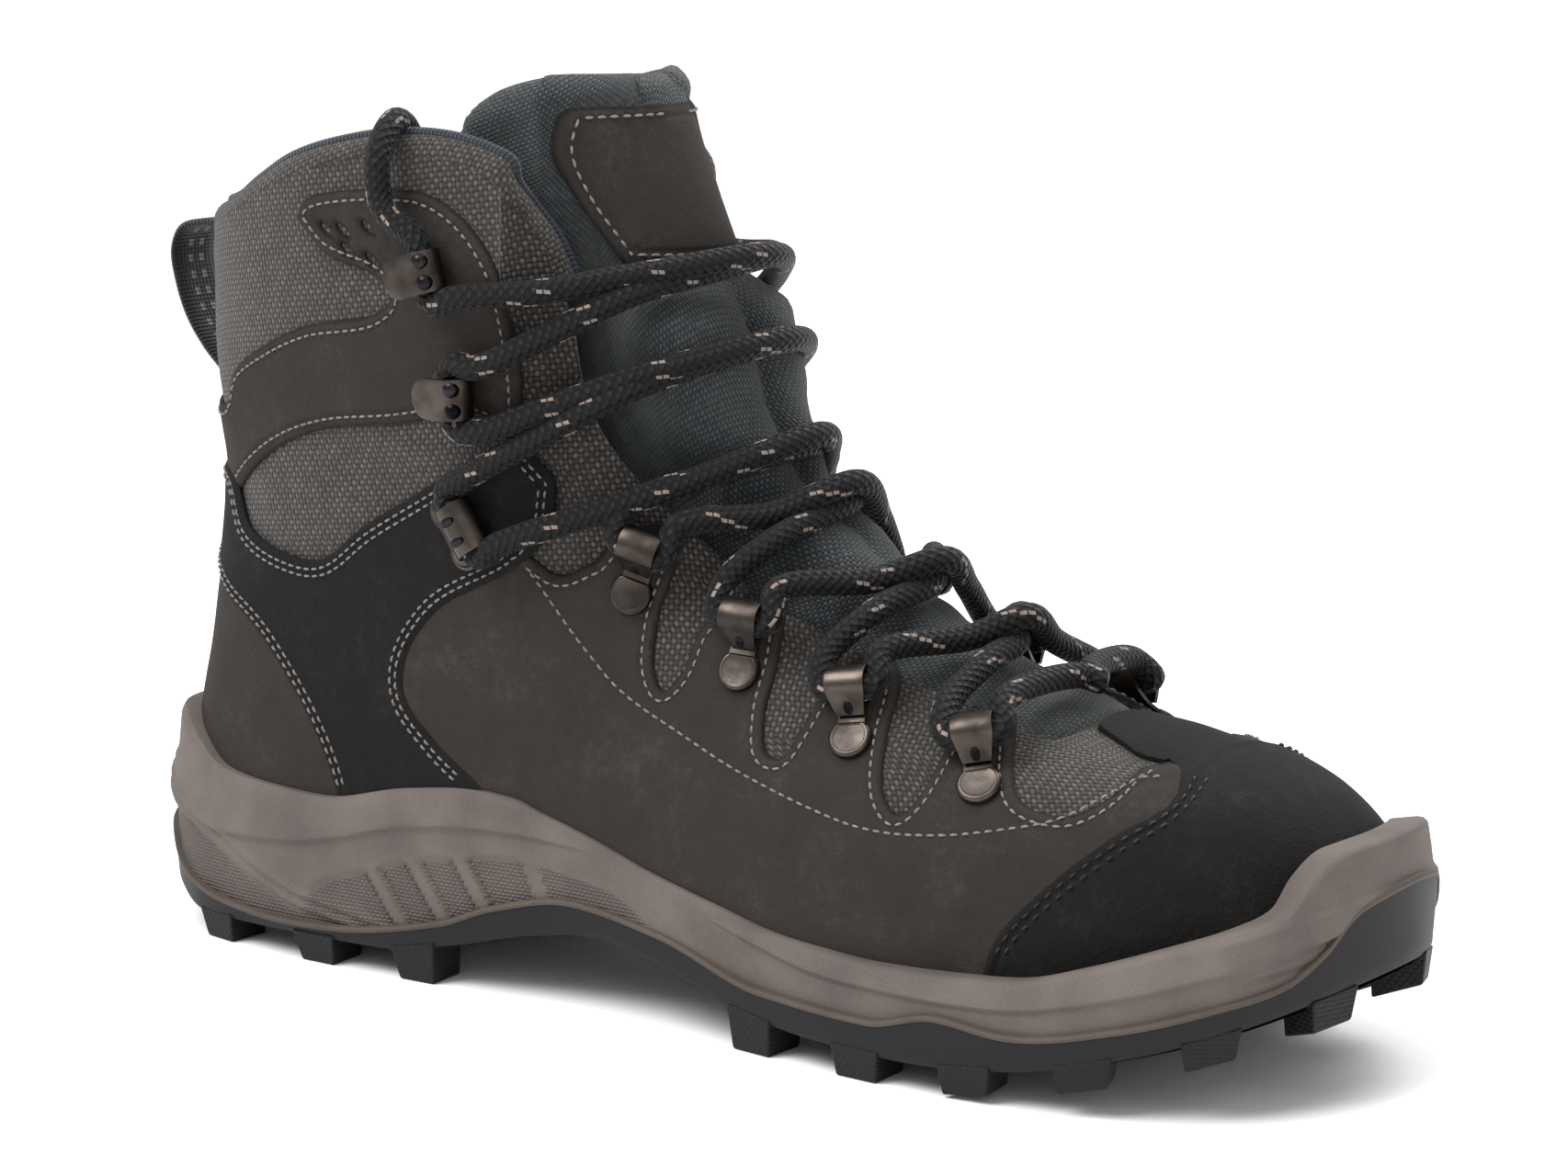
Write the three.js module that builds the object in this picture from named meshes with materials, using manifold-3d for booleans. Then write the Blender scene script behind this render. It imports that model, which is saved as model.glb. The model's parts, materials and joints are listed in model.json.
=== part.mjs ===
// A mid-height lace-up hiking boot for the right foot, in millimetres.
// +X points to the toe, +Y to the inner (medial) side of the foot and +Z up.
// The origin is the middle of the ground plane under the boot.
//
// The upper is one smooth last surface, cut into layers (leather, textile, lining) and each layer
// into pattern pieces. A pattern piece is drawn in the side view, in X and Z, as a shoe pattern is.
import * as THREE from "three";
import { ConvexGeometry } from "three/addons/geometries/ConvexGeometry.js";
import { mergeVertices } from "three/addons/utils/BufferGeometryUtils.js";
import Module from "manifold-3d";

// ---- Driving dimensions ------------------------------------------------------------------
const SOLE_LENGTH = 310;
const BALL_WIDTH = 105;
const TONGUE_HEIGHT = 200; // top of the tongue above the ground
const FIT_GAP = 0.3; // clearance between neighbouring pieces
const LEATHER = 1.5; // thickness of nubuck and suede
const TEXTILE = 1.3;
const LINING = 1.2;
const CUFF_FOAM = 4.6; // padding inside the ankle cuff
const TONGUE_THICKNESS = 6;
const BOARD = 1.8; // insole board
const FOOTBED = 4;
const SHANK_THICKNESS = 1.6;
const SHANK_WIDTH = 18;
const RUBBER_WALL = 2.8; // outsole rubber where it wraps the midsole
const LUG_DEPTH = 12; // how far a lug runs in from the edge
const LUG_LENGTH = 12.5;
const LACE_DIAMETER = 5.6;
const LOOP_WIDTH = 15; // webbing pull loop
const LOOP_THICKNESS = 1.6;
const RING_DISC_RADIUS = 4.6;
const RING_TUNNEL_LENGTH = 7;
const HOOK_WIDTH = 9;
const CLEAT_WIDTH = 11;
const METAL = 0.9; // thickness of the eyelet sheet metal
const RIVET_RADIUS = 1.5;
const RING_LIFT = 0.6; // hardware sits this far off the leather, which is curved
const HOOK_LIFT = 1.1;
const CLEAT_LIFT = 1.5;

// ---- Pattern space -----------------------------------------------------------------------
// Patterns are drawn on a 310 mm long, 105 mm wide and 200 mm high boot with its heel at X = 0.
const SX = SOLE_LENGTH / 310;
const SY = BALL_WIDTH / 105;
const SZ = TONGUE_HEIGHT / 200;
const FAR = 400;

const LEATHER_IN = LEATHER;
const TEXTILE_OUT = LEATHER_IN + FIT_GAP;
const TEXTILE_IN = TEXTILE_OUT + TEXTILE;
const LINING_OUT = TEXTILE_IN + FIT_GAP;
const LINING_IN = LINING_OUT + LINING;
const FOAM_IN = LINING_OUT + CUFF_FOAM;
const CUFF_LINING_OUT = FOAM_IN + FIT_GAP;
const CUFF_LINING_IN = CUFF_LINING_OUT + LINING;

// Monotone cubic through (x, y) pairs: it never overshoots its points.
function smooth(pairs) {
  const x = pairs.map((p) => p[0]);
  const y = pairs.map((p) => p[1]);
  const last = x.length - 1;
  const width = (k) => x[k + 1] - x[k];
  const rise = (k) => (y[k + 1] - y[k]) / width(k);
  const slope = x.map((_, k) => {
    if (k === 0) return rise(0);
    if (k === last) return rise(last - 1);
    const before = rise(k - 1);
    const after = rise(k);
    if (before * after <= 0) return 0;
    const a = 2 * width(k) + width(k - 1);
    const b = width(k) + 2 * width(k - 1);
    return (a + b) / (a / before + b / after);
  });
  return (at) => {
    const v = Math.min(Math.max(at, x[0]), x[last]);
    let k = 0;
    while (k < last - 1 && v > x[k + 1]) k += 1;
    const w = width(k);
    const t = (v - x[k]) / w;
    const u = 1 - t;
    return (
      y[k] * (1 + 2 * t) * u * u +
      slope[k] * w * t * u * u +
      y[k + 1] * t * t * (3 - 2 * t) -
      slope[k + 1] * w * t * t * u
    );
  };
}

// ---- The last surface --------------------------------------------------------------------
// A fan of half-planes turns about a crosswise line low in the boot. In each the section runs
// from the outer side over the ridge line to the inner side.
const PIVOT = { x: 115, z: 20 };
const RIDGE = [
  [302, 10], [304, 24], [303, 36], [298, 47], [289, 56], [276, 62.5], [258, 67], [240, 71],
  [212, 81], [188, 94.5], [169, 107.5], [156.5, 124], [150, 144], [144, 163], [137, 180],
  [130, 200], [124, 240], [121, 400], [60, 420], [8, 400], [8, 240], [9, 180], [9, 160],
  [9, 141], [11, 129], [13, 117], [13, 101], [11, 85], [8, 65], [5, 50], [3, 36], [2, 22], [3, 5],
];
const bearing = (x, z) => {
  const angle = Math.atan2(z - PIVOT.z, x - PIVOT.x);
  return angle < -Math.PI / 2 ? angle + 2 * Math.PI : angle;
};
const nearness = smooth(
  RIDGE.map(([x, z]) => [bearing(x, z), 1 / Math.hypot(x - PIVOT.x, z - PIVOT.z)]),
);
const reach = (angle) => 1 / nearness(angle);
const outerWidth = smooth([
  [0, 36], [60, 36.5], [110, 38], [150, 42], [190, 48], [220, 51], [260, 52], [310, 50],
]);
const innerWidth = smooth([
  [0, 35], [60, 35.5], [110, 34], [150, 37], [190, 44], [220, 48], [260, 50], [310, 50],
]);
const heightFactor = smooth([[0, 1], [45, 1], [80, 0.99], [110, 1.04], [160, 1.16], [200, 1.18]]);
const midline = smooth([[0, 0], [150, 0], [220, 1.5], [270, 4], [305, 7]]);
const degrees = (value) => (value * Math.PI) / 180;
const fullness = smooth(
  [[-20, 4.2], [15, 4.2], [30, 3.4], [60, 2.9], [90, 3.4], [125, 3.4], [150, 5], [200, 6]].map(
    ([a, v]) => [degrees(a), v],
  ),
);
const roundness = smooth(
  [[-20, 2.4], [20, 2.4], [40, 2.1], [60, 2], [130, 2], [160, 2.2], [200, 2.3]].map(([a, v]) => [
    degrees(a),
    v,
  ]),
);

// The point at a bearing and a turn: 0 is the outer end of the pivot line, 180 degrees the inner.
function lastPoint(angle, turn, trim) {
  const share = Math.sin(turn);
  const r = reach(angle) * share;
  const x = PIVOT.x + r * Math.cos(angle);
  const z = PIVOT.z + r * Math.sin(angle);
  const outer = turn < Math.PI / 2;
  const full = (outer ? outerWidth(x) : innerWidth(x)) * heightFactor(z) - trim(z);
  const dome = Math.max(1 - share ** fullness(angle), 0) ** (1 / roundness(angle));
  const y = midline(x) + (outer ? -full : full) * dome;
  return new THREE.Vector3(x * SX, y * SY, z * SZ);
}
const noTrim = () => 0;

function lastNormal(angle, turn, trim = noTrim) {
  const step = 0.01;
  const alongTurn = lastPoint(angle, Math.min(turn + step, Math.PI), trim).sub(
    lastPoint(angle, Math.max(turn - step, 0), trim),
  );
  const alongFan = lastPoint(angle + step, turn, trim).sub(lastPoint(angle - step, turn, trim));
  return alongTurn.cross(alongFan).normalize();
}

// The surface point and normal at side-view place (x, z) in pattern millimetres.
function onLast(x, z, side, lift = 0) {
  const angle = bearing(x, z);
  const share = Math.min(Math.hypot(x - PIVOT.x, z - PIVOT.z) / reach(angle), 0.9999);
  const turn = side === "outer" ? Math.asin(share) : Math.PI - Math.asin(share);
  const normal = lastNormal(angle, turn);
  const point = lastPoint(angle, turn, noTrim).addScaledVector(normal, lift);
  return { point, normal, angle, turn };
}

// ---- Solids ------------------------------------------------------------------------------
const wasm = await Module();
wasm.setup();

function solid(geometry) {
  const bare = geometry.clone();
  bare.deleteAttribute("normal");
  bare.deleteAttribute("uv");
  const merged = mergeVertices(bare, 1e-4);
  return new wasm.Manifold(
    new wasm.Mesh({
      numProp: 3,
      vertProperties: new Float32Array(merged.attributes.position.array),
      triVerts: new Uint32Array(merged.index.array),
    }),
  );
}

function geometryOf(manifold) {
  const mesh = manifold.getMesh();
  const geometry = new THREE.BufferGeometry();
  geometry.setAttribute("position", new THREE.BufferAttribute(mesh.vertProperties, 3));
  geometry.setIndex(new THREE.BufferAttribute(mesh.triVerts, 1));
  geometry.computeVertexNormals();
  return geometry;
}

function surface(points, faces) {
  const geometry = new THREE.BufferGeometry();
  geometry.setAttribute(
    "position",
    new THREE.Float32BufferAttribute(points.flatMap((p) => [p.x, p.y, p.z]), 3),
  );
  geometry.setIndex(faces.flat());
  return geometry;
}

const largest = (manifold) =>
  manifold.decompose().reduce((best, body) => (body.volume() > best.volume() ? body : best));
const joined = (parts) => parts.reduce((sum, part) => sum.add(part));
const cut = (body, tools) => tools.reduce((rest, tool) => rest.subtract(tool), body);

const FAN_ANGLES = [
  -3, 2, 7, 12, 17, 22, 29, 37, 45, 53, 61, 69, 79, 90, 103, 114, 122, 130, 139, 150, 164, 184,
].map(degrees);
const TURNS = [0, 20, 37, 52, 65, 78, 90, 102, 115, 128, 143, 160, 180].map(degrees);

// Everything inside the last surface, moved in by `inset` along its normal and by `trim` in width.
function lastBody(inset, trim = noTrim) {
  const ends = [TURNS[0], TURNS.at(-1)];
  const points = ends.map((turn, k) =>
    lastPoint(degrees(90), turn, trim).add(new THREE.Vector3(0, k ? -inset : inset, 0)),
  );
  const rows = TURNS.slice(1, -1);
  FAN_ANGLES.forEach((angle) =>
    rows.forEach((turn) =>
      points.push(
        lastPoint(angle, turn, trim).addScaledVector(lastNormal(angle, turn, trim), -inset),
      ),
    ),
  );
  const at = (column, row) => {
    if (row < 0) return 0;
    if (row >= rows.length) return 1;
    return 2 + column * rows.length + row;
  };
  const faces = [];
  const lastColumn = FAN_ANGLES.length - 1;
  for (let column = 0; column < lastColumn; column += 1) {
    faces.push([0, at(column, 0), at(column + 1, 0)]);
    for (let row = 0; row < rows.length - 1; row += 1) {
      const a = at(column, row);
      const b = at(column, row + 1);
      const c = at(column + 1, row + 1);
      const d = at(column + 1, row);
      faces.push([a, b, c], [a, c, d]);
    }
    faces.push([at(column, rows.length - 1), 1, at(column + 1, rows.length - 1)]);
  }
  for (let row = 0; row < rows.length; row += 1) {
    faces.push([0, at(0, row + 1), at(0, row)]);
    faces.push([0, at(lastColumn, row), at(lastColumn, row + 1)]);
  }
  return solid(surface(points, faces));
}

// A side-view outline as a THREE.Shape: each run is a corner point, or a curve through its points.
function shapeOf(runs) {
  const shape = new THREE.Shape();
  shape.moveTo(...runs[0][0]);
  runs.forEach((run, k) => {
    const rest = k === 0 ? run.slice(1) : run;
    if (rest.length > 1) shape.splineThru(rest.map(([x, z]) => new THREE.Vector2(x, z)));
    else rest.forEach((point) => shape.lineTo(...point));
  });
  return shape;
}

function outlinePoints(runs) {
  const points = shapeOf(runs)
    .getPoints(1)
    .map((p) => new THREE.Vector2(p.x * SX, p.y * SZ));
  const open = points.filter((p, k) => k === 0 || p.distanceTo(points[k - 1]) > 0.4);
  if (open[0].distanceTo(open.at(-1)) < 0.4) open.pop();
  return THREE.ShapeUtils.isClockWise(open) ? open.reverse() : open;
}

// The outline moved out by `gap` all round.
function grown(points, gap) {
  if (!gap) return points;
  return points.map((point, k) => {
    const before = points.at(k - 1);
    const after = points[(k + 1) % points.length];
    const a = point.clone().sub(before).normalize();
    const b = after.clone().sub(point).normalize();
    const mitre = new THREE.Vector2(a.y + b.y, -a.x - b.x).normalize();
    const stretch = Math.min(1 / Math.max(mitre.dot(new THREE.Vector2(a.y, -a.x)), 0.4), 2);
    return point.clone().addScaledVector(mitre, gap * stretch);
  });
}

const SIDES = {
  outer: [-FAR, -FIT_GAP / 2],
  inner: [FIT_GAP / 2, FAR],
  both: [-FAR, FAR],
};

// A side-view outline pushed through the boot along Y.
function prism(runs, side = "both", gap = 0) {
  const [low, high] = SIDES[side];
  const shape = new THREE.Shape(grown(outlinePoints(runs), gap));
  const geometry = new THREE.ExtrudeGeometry(shape, { depth: high - low, bevelEnabled: false });
  geometry.rotateX(Math.PI / 2);
  geometry.translate(0, high, 0);
  return solid(geometry);
}

// ---- Heights along the sole, in pattern millimetres ---------------------------------------
const ground = smooth([[-2, 11], [8, 4], [22, 0], [222, 0], [245, 2], [270, 7], [290, 13], [312, 21]]);
const treadBase = smooth([
  [-2, 15], [8, 9], [22, 5.5], [80, 6], [100, 9.5], [118, 14], [140, 17], [158, 13.5], [180, 8],
  [200, 6], [222, 5.5], [245, 7], [270, 12], [290, 18], [312, 27],
]);
const lip = smooth([
  [-2, 25], [4, 23], [12, 16], [20, 12.5], [32, 10], [50, 8.5], [65, 9], [97, 14.5], [112, 20],
  [132, 24], [157, 21], [187, 14], [215, 13], [232, 16.5], [248, 15], [272, 19], [289, 24],
  [299, 28], [304, 34], [307, 41], [310, 44],
]);
const rubberTop = smooth([
  [-2, 17.5], [8, 12], [22, 8], [60, 8], [97, 12], [118, 17.5], [140, 20.5], [158, 17], [187, 11], [215, 9.5],
  [250, 11], [272, 15], [290, 20], [312, 30],
]);
const midsoleTop = smooth([
  [-2, 51], [6, 51], [14, 47], [30, 40], [45, 38.5], [60, 38], [86, 43], [105, 45], [115, 44.5],
  [124, 42], [140, 38], [154, 34], [172, 30], [193, 26], [216, 24.5], [245, 25.5], [264, 30],
  [281, 35], [294, 39], [300, 42], [303, 48], [307, 53], [312, 54],
]);
const boardBase = smooth([
  [-2, 26], [70, 26], [120, 27], [150, 24], [190, 18], [215, 16.5], [250, 19], [300, 29],
]);

// ---- Plan outline of the sole ------------------------------------------------------------
const PLAN_OUTER = [
  [3, -20], [20, -34], [50, -40], [92, -42], [130, -42], [160, -45], [187, -50], [215, -54],
  [245, -55], [270, -51.5], [291, -41], [304, -25],
];
const PLAN_INNER = [
  [3, 19], [20, 32], [50, 37], [92, 35], [130, 34], [160, 38], [187, 44], [215, 49], [245, 50],
  [270, 46], [291, 38], [304, 26],
];
const HEEL_TIP = [-1, 0];
const TOE_TIP = [310, 4];
const planCurve = new THREE.CatmullRomCurve3(
  [HEEL_TIP, ...PLAN_OUTER, TOE_TIP, ...PLAN_INNER.toReversed()].map(
    ([x, y]) => new THREE.Vector3(x, y, 0),
  ),
  true,
);
const PLAN_STEPS = 44;

// The plan outline at a share of the way round, moved in, with its height given by its own X.
function planPoint(share, inset, height) {
  const at = planCurve.getPoint(share);
  const along = planCurve.getTangent(share);
  const length = Math.hypot(along.x * SX, along.y * SY);
  return new THREE.Vector3(
    at.x * SX - (along.y * SY * inset) / length,
    at.y * SY + (along.x * SX * inset) / length,
    height(at.x) * SZ,
  );
}

// A closed body from rings stacked round the sole outline; its end caps are strips across it.
function ringBody(rings) {
  const points = [];
  rings.forEach(({ inset, height, lift = 0 }) => {
    for (let k = 0; k < PLAN_STEPS; k += 1) {
      const point = planPoint(k / PLAN_STEPS, inset, height);
      point.z += lift;
      points.push(point);
    }
  });
  const faces = [];
  const at = (ring, k) => ring * PLAN_STEPS + ((k + PLAN_STEPS) % PLAN_STEPS);
  for (let ring = 0; ring < rings.length - 1; ring += 1) {
    for (let k = 0; k < PLAN_STEPS; k += 1) {
      faces.push([at(ring, k), at(ring, k + 1), at(ring + 1, k + 1)]);
      faces.push([at(ring, k), at(ring + 1, k + 1), at(ring + 1, k)]);
    }
  }
  const top = rings.length - 1;
  const half = PLAN_STEPS / 2;
  for (let k = 0; k < half; k += 1) {
    const quad = (ring) => [at(ring, k), at(ring, k + 1), at(ring, -k - 1), at(ring, -k)];
    const [a, b, c, d] = quad(top);
    const [e, f, g, h] = quad(0);
    if (k > 0) faces.push([a, b, d]);
    if (k > 0) faces.push([e, h, f]);
    if (k < half - 1) faces.push([b, c, d]);
    if (k < half - 1) faces.push([f, h, g]);
  }
  return solid(surface(points, faces));
}

// Everything below a height line along the boot.
function below(height, lift = 0) {
  const points = [];
  for (let x = -20; x <= 340; x += 12) points.push([x, height(x) + lift / SZ]);
  return prism([[[-20, -FAR]], ...points.map((p) => [p]), [[340, -FAR]]].reverse());
}

const meshes = [];
function place(name, geometry, finish) {
  const mesh = new THREE.Mesh(geometry, finish);
  mesh.name = name;
  meshes.push(mesh);
  return mesh;
}
const finish = (color, roughness, metalness = 0) =>
  new THREE.MeshStandardMaterial({ color, roughness, metalness });
const FINISH = {
  nubuck: finish(0x3b3835, 0.85),
  suede: finish(0x1f1d1c, 0.92),
  textile: finish(0x45403b, 0.9),
  tongueTextile: finish(0x2b3034, 0.9),
  navy: finish(0x2b2f3a, 0.9),
  midsole: finish(0x6b6462, 0.7),
  rubber: finish(0x26262b, 0.65),
  metal: finish(0x5b544d, 0.35, 0.9),
  lace: finish(0x17171a, 0.85),
  board: finish(0x8a7a60, 0.9),
  foam: finish(0x55565a, 0.95),
  shank: finish(0x9a9a9c, 0.4, 0.8),
};

// ---- Layers of the upper -----------------------------------------------------------------
const BOARD_TOP = BOARD + FIT_GAP;
const belowBoard = below(boardBase);
const belowLining = below(boardBase, BOARD_TOP);
const leatherLayer = lastBody(0).subtract(lastBody(LEATHER_IN)).subtract(belowBoard);
const textileBody = lastBody(TEXTILE_OUT);
const textileLayer = textileBody.subtract(lastBody(TEXTILE_IN)).subtract(belowLining);
const liningBody = lastBody(LINING_OUT);
const insideLining = lastBody(LINING_IN);

// Pattern outlines. They may run past the layer: the layer trims them.
const CUFF_TOP = [
  [-20, 163], [9, 163], [29, 166], [41, 171], [53, 176], [67, 180], [86, 183], [104, 182], [117, 177],
  [122, 169], [126, 158],
];
const THROAT = [[129, 150], [134, 130], [147, 112], [168, 94], [186, 86], [207, 78], [227, 72], [238, 69]];
const PUFF_SEAM = [[240, 80], [238, 60], [236, 40], [234, -20]];
const COUNTER_EDGE = [[-20, 72], [12, 75], [40, 68], [64, 48], [74, 30], [78, -20]];
const quarterRuns = [
  [CUFF_TOP[0], ...CUFF_TOP.slice(1)], THROAT, ...PUFF_SEAM.map((p) => [p]), [[-20, -20]],
];
const puffRuns = [[PUFF_SEAM[0]], ...PUFF_SEAM.slice(1).map((p) => [p]), [[340, -20]], [[340, 80]]];
const counterRuns = [[[-20, -20]], [COUNTER_EDGE[0]], COUNTER_EDGE.slice(1)];
const toeCapRuns = [
  [[238, 90], [241, 70.3]],
  [[250, 67.8], [257, 66], [264, 64.5], [268, 60], [261, 54], [248, 42], [240, 32], [237, 22]],
  [[236, -20]], [[340, -20]], [[340, 90]],
];
const suedeRuns = [
  [[-20, 109], [10, 109]], [[27, 107], [34, 96], [51, 91], [60, 91.5], [75, 101], [97, 113], [118, 124]],
  [[127, 115]], [[126, 105]], [[118, 96], [94, 83], [85, 71], [85, 63], [94, 54], [109, 43], [112, 30]],
  [[112, -20]], [[62, -20]], [[64, 40], [42, 70], [25, 79], [10, 86], [-20, 87]],
];
const heelRuns = [[[-20, 95]], [[10, 95]], [[30, 85]], [[52, 68]], [[74, 40]], [[74, -20]], [[-20, -20]]];
const cuffLeatherRuns = [
  [[-20, 128], [10, 125]],
  [[26, 123], [31, 131], [44, 138], [60, 144], [81, 148], [86, 152], [83, 156], [67, 161], [59, 168]],
  [[62, 172], [86, 175.5], [98, 174.5], [108, 169], [116, 159], [119, 148], [120, 132], [118, 122]],
  [[109, 127], [84, 124], [63, 121], [46, 115], [28, 103]], [[10, 101]], [[-20, 101]],
];
const vampRuns = [
  [[118, 99]], [[127, 94.5], [136, 98]],
  [[142, 105], [149, 106], [152, 100], [149.5, 86], [150, 76], [153, 72], [157, 76], [160, 86], [167, 91]],
  [[175, 91], [178, 82], [178.5, 70], [181, 62.5], [185, 62], [188, 68], [191, 79]],
  [[198, 82], [204, 78], [207, 68], [211, 58], [215.5, 54.5], [219, 58], [220.5, 68]],
  [[225, 72.4], [231, 69.8], [235, 65], [240, 59.5], [246, 57.5], [252, 57.5], [257, 61], [258, 65.3]],
  [[272, 66]], [[272, -20]], [[100, -20]], [[80, 60]], [[84, 84]],
];

// Where each fastening sits: the rivet or plate centre, and the way the lace tunnel lies from it.
const RINGS = [
  { outer: [144, 92], inner: [153, 92], to: [3, 12] },
  { outer: [171, 78], inner: [177, 78], to: [0, 12] },
  { outer: [200, 67], inner: [204, 67], to: [-4, 12] },
  { outer: [231, 61], inner: [232, 61], to: [-8, 11] },
].map((ring) => ({ ...ring, lift: RING_LIFT }));
const CLEAT = { outer: [102, 102], inner: [104, 103], to: [10, 6], lift: CLEAT_LIFT };
const HOOKS = [
  { outer: [97, 158], inner: [98, 161], to: [11, 3] },
  { outer: [103, 133], inner: [105, 135], to: [11, 0] },
].map((hook) => ({ ...hook, lift: HOOK_LIFT }));
const EARS = 5; // the cleat's two rivets stand this far each side of its middle

const leatherFace = new THREE.Mesh(geometryOf(lastBody(0)));
const probe = new THREE.Raycaster();
// The place on the faceted leather face under a point of the smooth last.
function onLeather({ point, normal }) {
  probe.set(point.clone().addScaledVector(normal, 20), normal.clone().negate());
  return probe.intersectObject(leatherFace)[0].point;
}

// Local frame on the leather: X along the lace tunnel, Y towards the throat, Z off the leather.
function seat(gate, side) {
  const [x, z] = gate[side];
  const [dx, dz] = gate.to;
  const here = onLast(x, z, side);
  const there = onLast(x + dx, z + dz, side);
  const out = here.normal.clone();
  const up = there.point.clone().sub(here.point);
  up.addScaledVector(out, -up.dot(out)).normalize();
  const along = up.clone().cross(out);
  const frame = new THREE.Matrix4().makeBasis(along, up, out);
  return frame.setPosition(onLeather(here).addScaledVector(out, gate.lift));
}

const rivetPlaces = [];
["outer", "inner"].forEach((side) => {
  RINGS.forEach((ring, k) =>
    rivetPlaces.push({ name: `ring_rivet_${side}_${k + 1}`, frame: seat(ring, side), lift: RING_LIFT }),
  );
  [-1, 1].forEach((hand, k) => {
    const frame = seat(CLEAT, side).multiply(new THREE.Matrix4().makeTranslation(hand * EARS, 0, 0));
    rivetPlaces.push({ name: `cleat_rivet_${side}_${k + 1}`, frame, lift: CLEAT_LIFT });
  });
});
function boreAt(frame, radius) {
  const shaft = new THREE.CylinderGeometry(radius, radius, 12, 6);
  shaft.rotateX(Math.PI / 2);
  return solid(shaft.applyMatrix4(frame));
}
const bores = joined(rivetPlaces.map(({ frame }) => boreAt(frame, RIVET_RADIUS + FIT_GAP)));

const toeCapHole = prism(toeCapRuns, "both", FIT_GAP);
const suedeHole = prism(suedeRuns, "both", FIT_GAP);
const heelHole = prism(heelRuns, "both", FIT_GAP);
const counterHole = prism(counterRuns, "both", FIT_GAP);
const puffHole = prism(puffRuns, "both", FIT_GAP);

place("toe_cap", geometryOf(largest(leatherLayer.intersect(prism(toeCapRuns)))), FINISH.suede);
place(
  "heel_panel",
  geometryOf(largest(cut(leatherLayer.intersect(prism(heelRuns)), [suedeHole]))),
  FINISH.nubuck,
);
["outer", "inner"].forEach((side) => {
  const piece = (runs, holes) =>
    geometryOf(largest(cut(leatherLayer.intersect(prism(runs, side)), [...holes, bores])));
  place(`ankle_overlay_${side}`, piece(suedeRuns, []), FINISH.suede);
  place(`cuff_overlay_${side}`, piece(cuffLeatherRuns, [suedeHole]), FINISH.nubuck);
  place(`vamp_${side}`, piece(vampRuns, [toeCapHole, suedeHole, heelHole]), FINISH.nubuck);
  const quarter = textileLayer.intersect(prism(quarterRuns, side));
  place(
    `textile_quarter_${side}`,
    geometryOf(largest(cut(quarter, [puffHole, counterHole, bores]))),
    FINISH.textile,
  );
});
place("heel_counter", geometryOf(largest(textileLayer.intersect(prism(counterRuns)))), FINISH.board);
place("toe_puff", geometryOf(largest(textileLayer.intersect(prism(puffRuns)))), FINISH.board);

// The lining stops where the padded cuff starts; its toe runs closed under the toe puff.
const CUFF_BASE = [[-20, 118], [30, 118], [70, 126], [100, 132], [140, 140]];
const liningRuns = [
  [[-20, -20]], ...CUFF_BASE.map((p) => [p]), THROAT.slice(2),
  [[241, 69]], [[242, 90]], [[340, 90]], [[340, -20]],
];
const lining = liningBody.subtract(insideLining).subtract(belowLining).intersect(prism(liningRuns));
place("lining", geometryOf(largest(lining)), FINISH.foam);
const CUFF_FLOOR = CUFF_BASE.map(([x, z]) => [x, z + 0.6]);
const cuffRuns = [
  ...CUFF_FLOOR.slice(0, 4).map((p) => [p]), [[113, 135]], [[112, 150], [112, 165], [106, 176]],
  CUFF_TOP.slice(1, -3).toReversed().map(([x, z]) => [x, z - 2]), [[-20, 161]],
];
const cuffPrism = prism(cuffRuns);
place(
  "cuff_foam",
  geometryOf(largest(liningBody.subtract(lastBody(FOAM_IN)).intersect(cuffPrism))),
  FINISH.foam,
);
place(
  "cuff_lining",
  geometryOf(largest(lastBody(CUFF_LINING_OUT).subtract(lastBody(CUFF_LINING_IN)).intersect(cuffPrism))),
  FINISH.navy,
);

// ---- Tongue --------------------------------------------------------------------------------
const tongueTrim = smooth([[60, 7], [100, 9], [130, 13], [200, 14]]);
const TONGUE_INSET = 1;
const HINGE = { x: 124, z: 120 };
const tongueShell = lastBody(TONGUE_INSET, tongueTrim).subtract(
  lastBody(TONGUE_INSET + TONGUE_THICKNESS, tongueTrim),
);
const FOLD_END = [175, 136.5];
const foldGap = 0.4;
const lowerTongueRuns = [
  [[HINGE.x, HINGE.z - foldGap]], [[140, 104], [160, 86], [184, 72], [205, 64], [234, 60]],
  [[239.5, 69.5]], [[239.5, 90]], [[200, 140]], [[FOLD_END[0], FOLD_END[1] - foldGap]],
];
const upperTongueRuns = [
  [[HINGE.x, HINGE.z + foldGap]], [[FOLD_END[0], FOLD_END[1] + foldGap]], [[175, 200]], [[136, 200]],
  [[125, 201], [113, 199.5], [102, 196], [95, 190], [94, 182], [104, 165], [114, 142]],
];
const quarterOutline = [...quarterRuns.slice(0, 2), [[240, 74]], [[240, -20]], [[-20, -20]]];
const quarterSpace = prism(quarterOutline, "both", FIT_GAP)
  .add(prism(liningRuns, "both", FIT_GAP))
  .subtract(lastBody(LINING_IN + FIT_GAP));
const tongueLower = tongueShell.intersect(prism(lowerTongueRuns)).subtract(quarterSpace);
place("tongue_lower", geometryOf(largest(tongueLower)), FINISH.tongueTextile);
const tongueUpper = geometryOf(largest(tongueShell.intersect(prism(upperTongueRuns))));
place("tongue_upper", tongueUpper, FINISH.tongueTextile);
const PATCH_THICKNESS = 1;
const patchShell = lastBody(TONGUE_INSET - FIT_GAP - PATCH_THICKNESS, tongueTrim).subtract(
  lastBody(TONGUE_INSET - FIT_GAP, tongueTrim),
);
const patchRuns = [[[121, 193], [120, 184], [124, 173], [133, 160]], [[170, 158]], [[170, 193]]];
place("tongue_patch", geometryOf(largest(patchShell.intersect(prism(patchRuns)))), FINISH.nubuck);

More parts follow.
